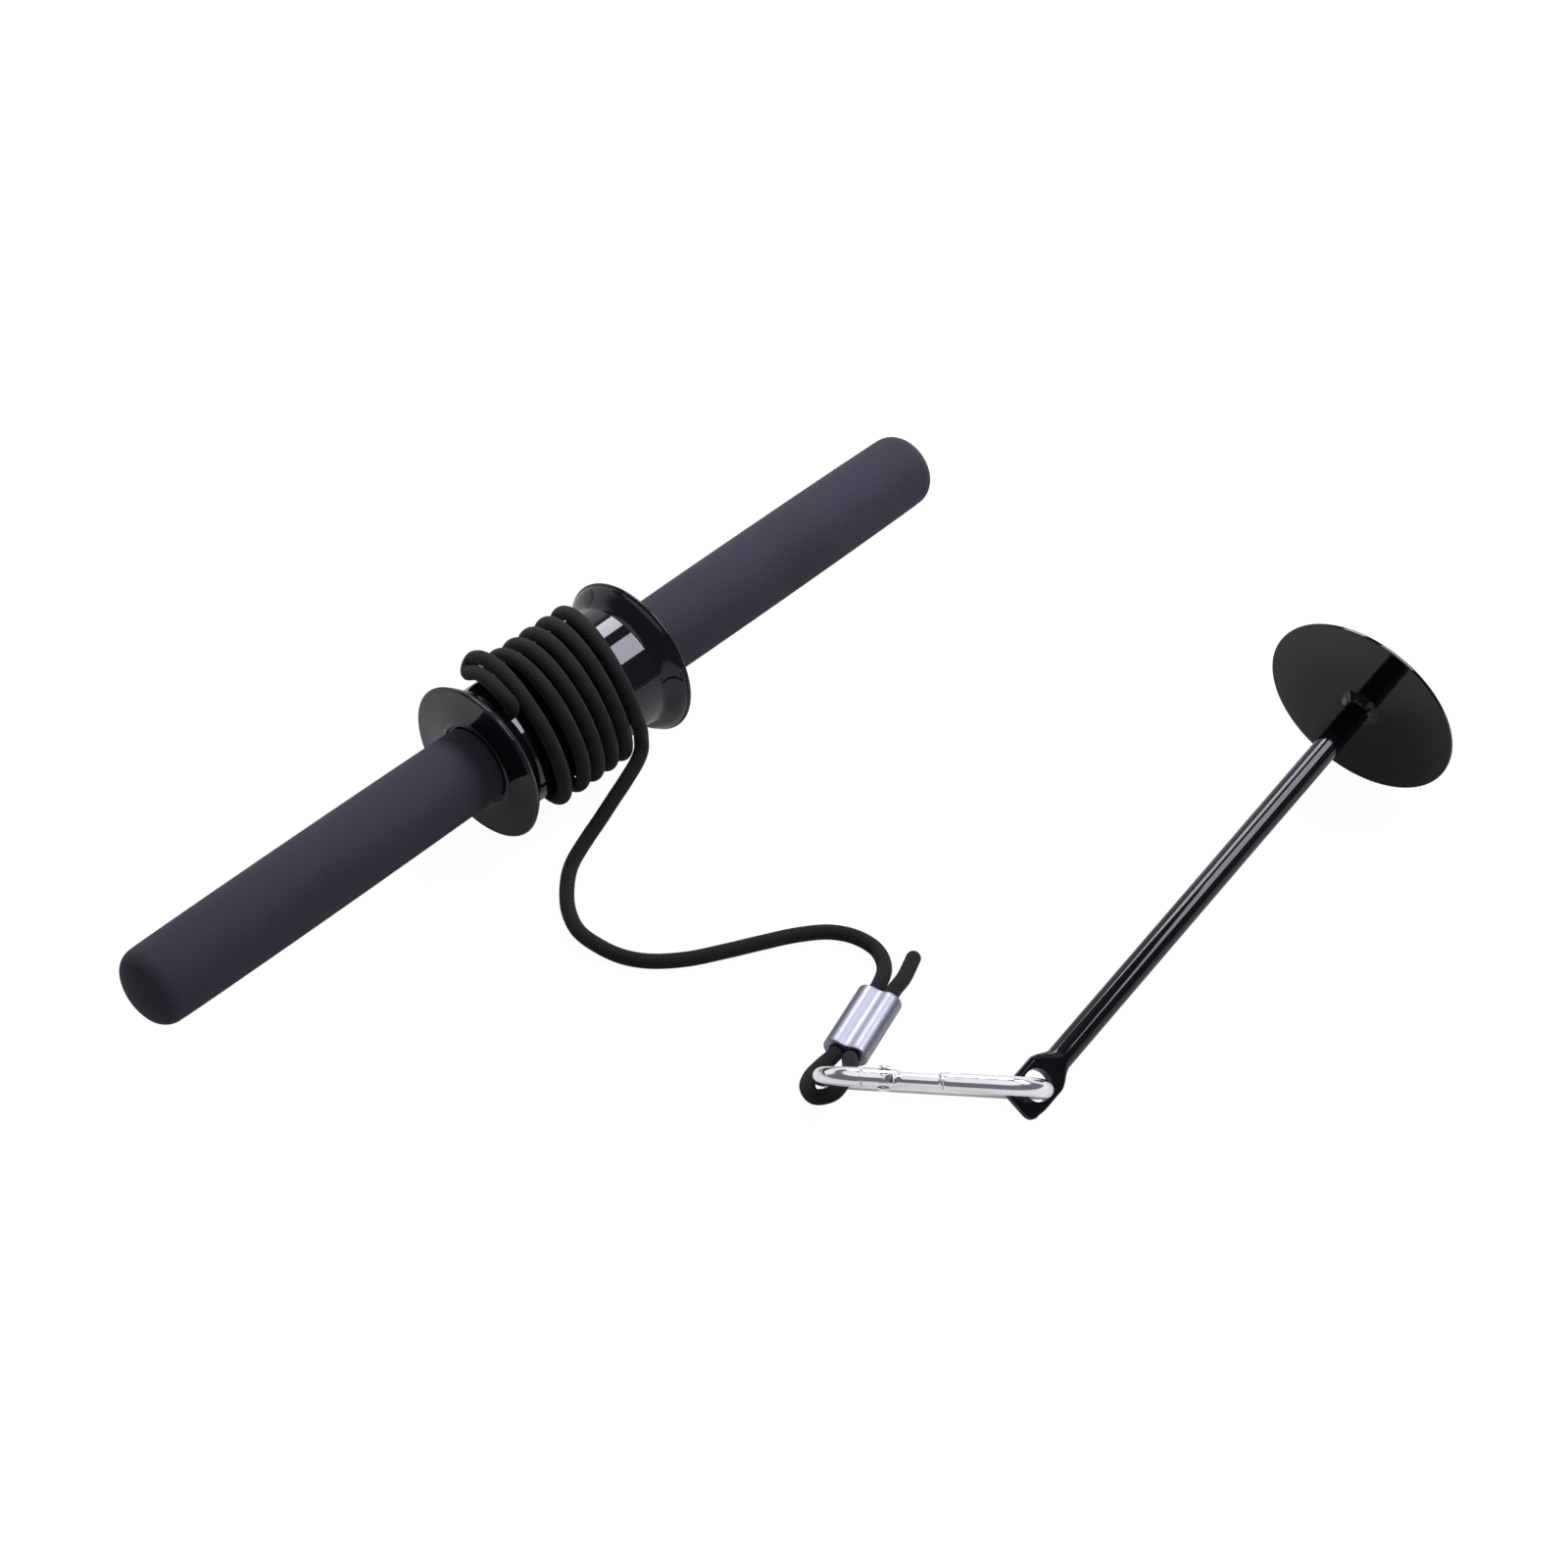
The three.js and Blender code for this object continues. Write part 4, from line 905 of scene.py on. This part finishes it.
def sleeve_piece():
    outline = sleeve_outline()
    bm = bmesh.new()
    rings = []
    for along, scale in sleeve_stations():
        ring = [bm.verts.new(beside_ferrule(along, y * scale, z * scale)) for y, z in outline]
        rings.append(ring)
    for first, second in zip(rings, rings[1:]):
        for index in range(len(outline)):
            after = (index + 1) % len(outline)
            bm.faces.new((first[index], first[after], second[after], second[index]))
    ends = []
    for along in (0, FERRULE_LENGTH):
        ends.append([[bm.verts.new(beside_ferrule(along, y, z)) for y, z in bore_outline(centre)]
                     for centre in (LOBE, -LOBE)])
    for top, bottom in zip(*ends):
        for index in range(len(top)):
            after = (index + 1) % len(top)
            bm.faces.new((top[after], top[index], bottom[index], bottom[after]))
    for ring, bores in ((rings[0], ends[0]), (rings[-1], ends[1])):
        edges = []
        for loop in [ring, *bores]:
            for index in range(len(loop)):
                edges.append(bm.edges.get((loop[index], loop[(index + 1) % len(loop)])))
        bmesh.ops.triangle_fill(bm, use_beauty=True, edges=edges)
    bmesh.ops.recalc_face_normals(bm, faces=bm.faces)
    mesh = bpy.data.meshes.new("sleeve")
    bm.to_mesh(mesh)
    bm.free()
    return smooth(add_object("sleeve", mesh), 50)


sleeve = finish_piece(sleeve_piece(), "line", ALUMINIUM, ["ferrule"])


# Snap hook, in its own plane: x along it, y from the spine to the gate
def heading(degrees):
    """A level direction, counted from the bar's far end round to the back."""
    return Vector((math.cos(math.radians(degrees)), math.sin(math.radians(degrees)), 0))


UP = Vector((0, 0, 1))
hook_along = heading(HOOK_HEADING)
lean = math.radians(HOOK_LEAN)
hook_up = heading(HOOK_HEADING - 90) * math.cos(lean) + UP * math.sin(lean)
hook_normal = hook_along.cross(hook_up)
pin_angle = math.radians(HOOK_PIN_ANGLE)
seat_x = HOOK_STRAIGHT + BEND_RADIUS * math.sin(pin_angle)
seat_y = BEND_RADIUS * (1 - math.cos(pin_angle))
pin_seat = Vector((*HOOK_AT_PIN, WIRE_RADIUS + hook_up.z * seat_y))
hook_origin = pin_seat - hook_along * seat_x - hook_up * seat_y


def frame_matrix(x_axis, y_axis, z_axis, origin):
    matrix = Matrix((x_axis, y_axis, z_axis)).transposed().to_4x4()
    matrix.translation = Vector(floor_point(*origin))
    return matrix


hook_matrix = frame_matrix(hook_along, hook_up, hook_normal, hook_origin)
gate_matrix = hook_matrix @ Matrix.Translation((0, GATE_LINE * MM, 0))
across_gate = gate_matrix @ Matrix.Rotation(-math.pi / 2, 4, "Y")
pivot_matrix = across_gate @ Matrix.Translation((0, 0, -GATE_PIVOT * MM))


def hook_line():
    """The wire's middle line, from the nose round the spine to the stub at the gate's pivot."""
    nose = np.linspace(GATE_NOSE, HOOK_STRAIGHT, NOSE_POINTS, endpoint=False)
    flat = [(x, GATE_LINE) for x in nose]
    for angle in np.linspace(math.pi / 2, -math.pi / 2, BEND_POINTS):
        flat.append((HOOK_STRAIGHT + BEND_RADIUS * math.cos(angle),
                     BEND_RADIUS + BEND_RADIUS * math.sin(angle)))
    flat += [(x, 0) for x in np.linspace(HOOK_STRAIGHT, 0, SPINE_POINTS)[1:-1]]
    for angle in np.linspace(-math.pi / 2, -3 * math.pi / 2, BEND_POINTS):
        flat.append((BEND_RADIUS * math.cos(angle), BEND_RADIUS + BEND_RADIUS * math.sin(angle)))
    flat.append((HOOK_STUB, GATE_LINE))
    return [hook_matrix @ Vector((x * MM, y * MM, 0)) for x, y in flat]


def pivot_tongue():
    """The flat tongue on the stub, which the gate's fork straddles."""
    radius = WIRE_RADIUS - GAP
    line = [gate_matrix @ Vector((x * MM, 0, 0)) for x in (-HOOK_STUB, 2, 5, GATE_PIVOT)]
    tongue = tube("tongue", line, radius * MM, WIRE_FACES, hook_normal)
    reach = 2.5 * WIRE_RADIUS
    for side in (1, -1):
        low, high = sorted((side * TONGUE_HALF, side * 2 * WIRE_RADIUS))
        carve(tongue, [block((-HOOK_STUB - OVERRUN, -reach, low),
                             (GATE_PIVOT + OVERRUN, reach, high), gate_matrix)])
    return tongue


def pivot_knuckle():
    """The tongue's round end, about the rivet."""
    radius = WIRE_RADIUS - GAP
    corners = [(-TONGUE_HALF, 0), (-TONGUE_HALF, radius), (TONGUE_HALF, radius), (TONGUE_HALF, 0)]
    profile = rounded(corners, (METAL_EDGE, METAL_EDGE))
    return turned("knuckle", profile, ROD_FACES, pivot_matrix)


def hook_wire():
    line = hook_line()
    radii = np.full(len(line), WIRE_RADIUS * MM)
    radii[[0, -1]] *= WIRE_END_SHARE
    wire = tube("hook_wire", line, radii, WIRE_FACES, hook_normal)
    tongue = pivot_tongue()
    knuckle = pivot_knuckle()
    slot_half = LATCH_HALF + GAP
    slot = block((GATE_NOSE - OVERRUN, -CUTTER_REACH, -slot_half),
                 (GATE_NOSE + LATCH_LENGTH + 2 * GAP, GATE_RADIUS + GAP, slot_half), gate_matrix)
    notch_half = LATCH_PIN_RADIUS + 2 * GAP
    notch_middle = GATE_NOSE + LATCH_PIN_INSET
    notch = block((notch_middle - notch_half, -CUTTER_REACH, -CUTTER_REACH),
                  (notch_middle + notch_half, notch_half, CUTTER_REACH), gate_matrix)
    carve(wire, [slot, notch])
    return join(wire, [tongue, knuckle])


def gate_piece():
    slot_half = TONGUE_HALF + GAP
    slot_end = GATE_PIVOT + WIRE_RADIUS
    neck = slot_end + GATE_SHOULDER
    start = HOOK_STUB + GAP
    nose = GATE_NOSE - GAP
    ring = WIRE_RADIUS - NOSE_INSET
    corners = [(start, 0), (start, WIRE_RADIUS), (neck, WIRE_RADIUS), (neck + GATE_TAPER, GATE_RADIUS),
               (nose - 2 * NOSE_RING, GATE_RADIUS), (nose - NOSE_RING, ring), (nose, ring), (nose, 0)]
    profile = rounded(corners, GATE_EDGES)
    bar = turned("gate_bar", profile, ROD_FACES, gate_matrix, angle=30)
    fork = block((HOOK_STUB - OVERRUN, -CUTTER_REACH, -slot_half),
                 (slot_end, CUTTER_REACH, slot_half), gate_matrix)
    carve(bar, [fork], 30)
    tongue = block((GATE_NOSE - LATCH_ROOT, -GATE_RADIUS, -LATCH_HALF),
                   (GATE_NOSE + LATCH_LENGTH, GATE_RADIUS, LATCH_HALF), gate_matrix)
    bevel_edges(tongue, METAL_EDGE)
    return join(bar, [tongue])


def rivet_profile():
    half = WIRE_RADIUS + GAP
    far = [(half + out, radius) for out, radius in RIVET_OUTLINE]
    return [(-along, radius) for along, radius in far] + far[::-1]


finish_piece(hook_wire(), "hook", CHROME, ["hook_body"])
finish_piece(gate_piece(), "gate", CHROME, ["hook_gate"])
rivet = turned("rivet", rivet_profile(), RIVET_FACES, pivot_matrix)
finish_piece(rivet, "hook", CHROME, ["gate_rivet"])


# Loading pin: a rod that flattens into a blade with a hole, and its plate
lever = PLATE_RADIUS - PIN_REST * math.sin(math.radians(BLADE_ROLL))
tilt = math.acos(pin_seat.z / math.hypot(PIN_REACH, lever)) - math.atan2(PIN_REACH, lever)
pin_along = heading(PIN_HEADING) * math.cos(tilt) - UP * math.sin(tilt)
blade_normal = (UP - pin_along * UP.dot(pin_along)).normalized()
blade_normal.rotate(Matrix.Rotation(-math.radians(BLADE_ROLL), 3, pin_along))
blade_across = blade_normal.cross(pin_along)
pin_foot = pin_seat - pin_along * PIN_REACH - blade_across * PIN_REST
pin_matrix = frame_matrix(blade_across, blade_normal, pin_along, pin_foot)
turned_pin = pin_matrix @ Matrix.Rotation(-math.pi / 2, 4, "Y")


def rod_section(along, shoulder, corner_start, blade_end):
    """The rod's section at one place: its half width, half thickness and squareness."""
    flat = float(ease((along - shoulder) / BLADE_SHOULDER))
    narrow = float(ease((along - blade_end + BLADE_TAPER) / (BLADE_TAPER - BLADE_CORNER)))
    width = ROD_RADIUS + (BLADE_HALF - ROD_RADIUS) * flat
    width += (BLADE_END_HALF - BLADE_HALF) * narrow
    thick = ROD_RADIUS + (BLADE_THICKNESS / 2 - ROD_RADIUS) * flat
    end = 1 - math.sqrt(1 - np.clip((along - corner_start) / BLADE_CORNER, 0, 1) ** 2)
    return (width - BLADE_CORNER * end, thick - BLADE_TIP_EDGE * end, 1 - BLADE_SQUARENESS * flat)


def pin_rod():
    """Sections from the plate to the blade's end: round, then a rounded flat."""
    blade_end = PIN_REACH + BLADE_MARGIN
    shoulder = PIN_REACH - BLADE_NECK - BLADE_SHOULDER
    corner_start = blade_end - BLADE_CORNER
    stations = list(np.linspace(ROD_INSET - PLATE_THICKNESS, shoulder, ROD_POINTS))
    stations += list(np.linspace(shoulder, corner_start, BLADE_POINTS)[1:])
    stations += [corner_start + BLADE_CORNER * math.sin(angle)
                 for angle in np.linspace(0, math.pi / 2, BLADE_END_POINTS)[1:]]
    rows = []
    for along in stations:
        width, thick, power = rod_section(along, shoulder, corner_start, blade_end)
        row = []
        for angle in np.linspace(0, 2 * math.pi, ROD_FACES, endpoint=False):
            c, s = math.cos(angle), math.sin(angle)
            x = math.copysign(abs(c) ** power, c) * width * MM
            y = math.copysign(abs(s) ** power, s) * thick * MM
            row.append(pin_matrix @ Vector((x, y, along * MM)))
        rows.append(row)
    rod = add_object("pin_rod", grid_mesh("pin_rod", rows, True, (True, True)))
    at_hole = pin_matrix @ Matrix.Translation((0, 0, PIN_REACH * MM))
    through = at_hole @ Matrix.Rotation(math.pi / 2, 4, "Z")
    reach = ROD_RADIUS + OVERRUN
    return carve(rod, [rod_cutter(HOLE_RADIUS, -reach, reach, through)], 45)


def plate_profile():
    bore = ROD_RADIUS + GAP
    corners = [(-PLATE_THICKNESS, bore), (-PLATE_THICKNESS, PLATE_RADIUS), (0, PLATE_RADIUS),
               (0, bore)]
    profile = rounded(corners, (PLATE_EDGE, PLATE_EDGE), points=8)
    outermost = PLATE_RADIUS - 1.5 * PLATE_EDGE
    rings = [(0, radius) for radius in np.linspace(outermost, bore + GAP, PLATE_POINTS)]
    return profile[:-1] + rings + [(0, bore)]


def weld_piece():
    """A fillet round the rod's root, made uneven as a bead is."""
    profile = [(up, ROD_RADIUS + out) for up, out in WELD_OUTLINE]
    weld = turned("pin_weld", profile, WELD_FACES, turned_pin)
    for vertex in weld.data.vertices:
        local = turned_pin.inverted() @ vertex.co
        turn = math.atan2(local.z, local.y)
        uneven = sum(share * math.sin(waves * turn + phase) for share, waves, phase in WELD_WAVES)
        local.x *= 1 + uneven
        if math.hypot(local.y, local.z) > (ROD_RADIUS + WELD_CORE) * MM:
            local.y *= 1 + uneven * WELD_SIDE_SHARE
            local.z *= 1 + uneven * WELD_SIDE_SHARE
        vertex.co = turned_pin @ local
    return weld


finish_piece(pin_rod(), "pin", PIN_GLOSS, ["loading_pin"])
plate = turned("pin_plate", plate_profile(), PLATE_FACES, turned_pin, closed=True, angle=50)
finish_piece(plate, "pin", PIN_GLOSS, ["weight_plate"])
finish_piece(weld_piece(), "pin", PIN_GLOSS, ["weld_bead"])

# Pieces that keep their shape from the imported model
CARRIED = {
    "bar_tube": STEEL, "tube_plug_near": PLUG, "tube_plug_far": PLUG, "drive_pin": STEEL,
    "spool_screw_1": STEEL, "spool_screw_2": STEEL, "spool_screw_3": STEEL, "cord_knot": BRAID,
    "latch_pin": CHROME, "gate_plunger": STEEL, "gate_spring": STEEL,
}
for node, material in CARRIED.items():
    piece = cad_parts[node]
    piece.data.materials.clear()
    piece.data.materials.append(material)


# Floor, world and lamps, in metres
FLOOR_HALF = 12
FLOOR_DROP = 0.0002
FLOOR_GLOW = 1.1
FLOOR_COLOUR = (0.85, 0.85, 0.85)
BOUNCE_COLOUR = (0.35, 0.35, 0.37)
CAMERA_SHARE = 0.88
MIRROR_SHARE = 0.12
# The room that mirrors see: directions as parts of a unit vector, and light levels
BACKDROP_X = 0.6
BACKDROP_Y = 0.8
BACKDROP_EDGE = (0.1, 0.45)
BACKDROP_TOP = (0.62, 0.5)
CEILING_SIDE = (0.36, 0.26)
CEILING_EDGE = (0.76, 0.84)
ROOM_TINT = (0.84, 0.89, 1)
ROOM_LEVEL = 0.18
WHITE_LEVEL = 0.95
PLAIN_LEVEL = 0.28
PANE_X = 0.92
PANE_WIDTH = 0.55
PANE_HEIGHT = 1.3
# Each pane's ends along Y for one metre of height, and its radiance
PANES = (("pane_back", 0.24, 0.87, 12.5), ("pane_front", -0.87, -0.1, 9.5))


def light_path(tree, output):
    return tree.nodes["Light Path"].outputs[output]


def direct_rays(tree):
    """How white each kind of ray sees the floor: the camera most, mirrors and glass a little."""
    mirror = math_node(tree, "MAXIMUM", light_path(tree, "Is Glossy Ray"),
                       light_path(tree, "Is Transmission Ray"))
    seen = math_node(tree, "MULTIPLY", light_path(tree, "Is Camera Ray"), CAMERA_SHARE)
    return math_node(tree, "MAXIMUM", seen, math_node(tree, "MULTIPLY", mirror, MIRROR_SHARE))


def make_floor():
    """A pale floor that glows white for the camera and bounces little light back up."""
    size = FLOOR_HALF
    mesh = bpy.data.meshes.new("floor")
    mesh.from_pydata([(-size, -size, 0), (size, -size, 0), (size, size, 0), (-size, size, 0)], [],
                     [(0, 1, 2, 3)])
    floor = add_object("floor", mesh)
    floor.location.z = -FLOOR_DROP
    material, tree, shader = new_material("table", FLOOR_COLOUR, roughness=1.0)
    tree.nodes.new("ShaderNodeLightPath")
    colour = between(tree, light_path(tree, "Is Diffuse Ray"), FLOOR_COLOUR, BOUNCE_COLOUR, 0, 1)
    tree.links.new(colour, shader.inputs["Base Color"])
    shader.inputs["Specular IOR Level"].default_value = 0
    white = tree.nodes.new("ShaderNodeEmission")
    white.inputs["Strength"].default_value = FLOOR_GLOW
    glow = tree.nodes.new("ShaderNodeMixShader")
    tree.links.new(direct_rays(tree), glow.inputs["Fac"])
    tree.links.new(shader.outputs["BSDF"], glow.inputs[1])
    tree.links.new(white.outputs["Emission"], glow.inputs[2])
    tree.links.new(glow.outputs["Shader"], tree.nodes["Material Output"].inputs["Surface"])
    mesh.materials.append(material)


def make_world():
    """White for the camera. Mirrors see a dim room with a white backdrop and ceiling."""
    world = bpy.data.worlds.new("studio")
    bpy.context.scene.world = world
    world.use_nodes = True
    tree = world.node_tree
    background = tree.nodes["Background"]
    tree.nodes.new("ShaderNodeLightPath")
    split = tree.nodes.new("ShaderNodeSeparateXYZ")
    tree.links.new(coordinates(tree, "Generated"), split.inputs["Vector"])
    ahead = math_node(tree, "ADD", math_node(tree, "MULTIPLY", split.outputs["X"], BACKDROP_X),
                      math_node(tree, "MULTIPLY", split.outputs["Y"], BACKDROP_Y))
    backdrop = math_node(tree, "MULTIPLY", soft_step(tree, ahead, *BACKDROP_EDGE),
                         soft_step(tree, split.outputs["Z"], *BACKDROP_TOP))
    ceiling = math_node(tree, "MULTIPLY", soft_step(tree, split.outputs["X"], *CEILING_SIDE),
                        soft_step(tree, split.outputs["Z"], *CEILING_EDGE))
    white = math_node(tree, "MAXIMUM", backdrop, ceiling)
    glossy = light_path(tree, "Is Glossy Ray")
    tint = math_node(tree, "MULTIPLY", glossy, math_node(tree, "SUBTRACT", 1.0, white))
    mirrored = spread(tree, white, ROOM_LEVEL, WHITE_LEVEL)
    camera_ray = math_node(tree, "MAXIMUM", light_path(tree, "Is Camera Ray"),
                           light_path(tree, "Is Transmission Ray"))
    excess = math_node(tree, "SUBTRACT", mirrored, PLAIN_LEVEL)
    strength = math_node(tree, "MULTIPLY", glossy, excess)
    strength = math_node(tree, "ADD", strength, PLAIN_LEVEL)
    strength = math_node(tree, "MAXIMUM", strength, camera_ray)
    colour = between(tree, tint, (1, 1, 1), ROOM_TINT, 0, 1)
    tree.links.new(colour, background.inputs["Color"])
    tree.links.new(strength, background.inputs["Strength"])


def make_lamps():
    """Two overhead panes beside the bar's far end, as tall windows would light it."""
    for name, low, high, radiance in PANES:
        data = bpy.data.lights.new(name, "AREA")
        data.shape = "RECTANGLE"
        data.size = PANE_WIDTH
        data.size_y = (high - low) * PANE_HEIGHT
        data.energy = radiance * math.pi * data.size * data.size_y
        lamp = bpy.data.objects.new(name, data)
        lamp.location = (BAR.x + PANE_X, BAR.y + (low + high) / 2 * PANE_HEIGHT, PANE_HEIGHT)
        bpy.context.scene.collection.objects.link(lamp)


make_floor()
make_world()
make_lamps()
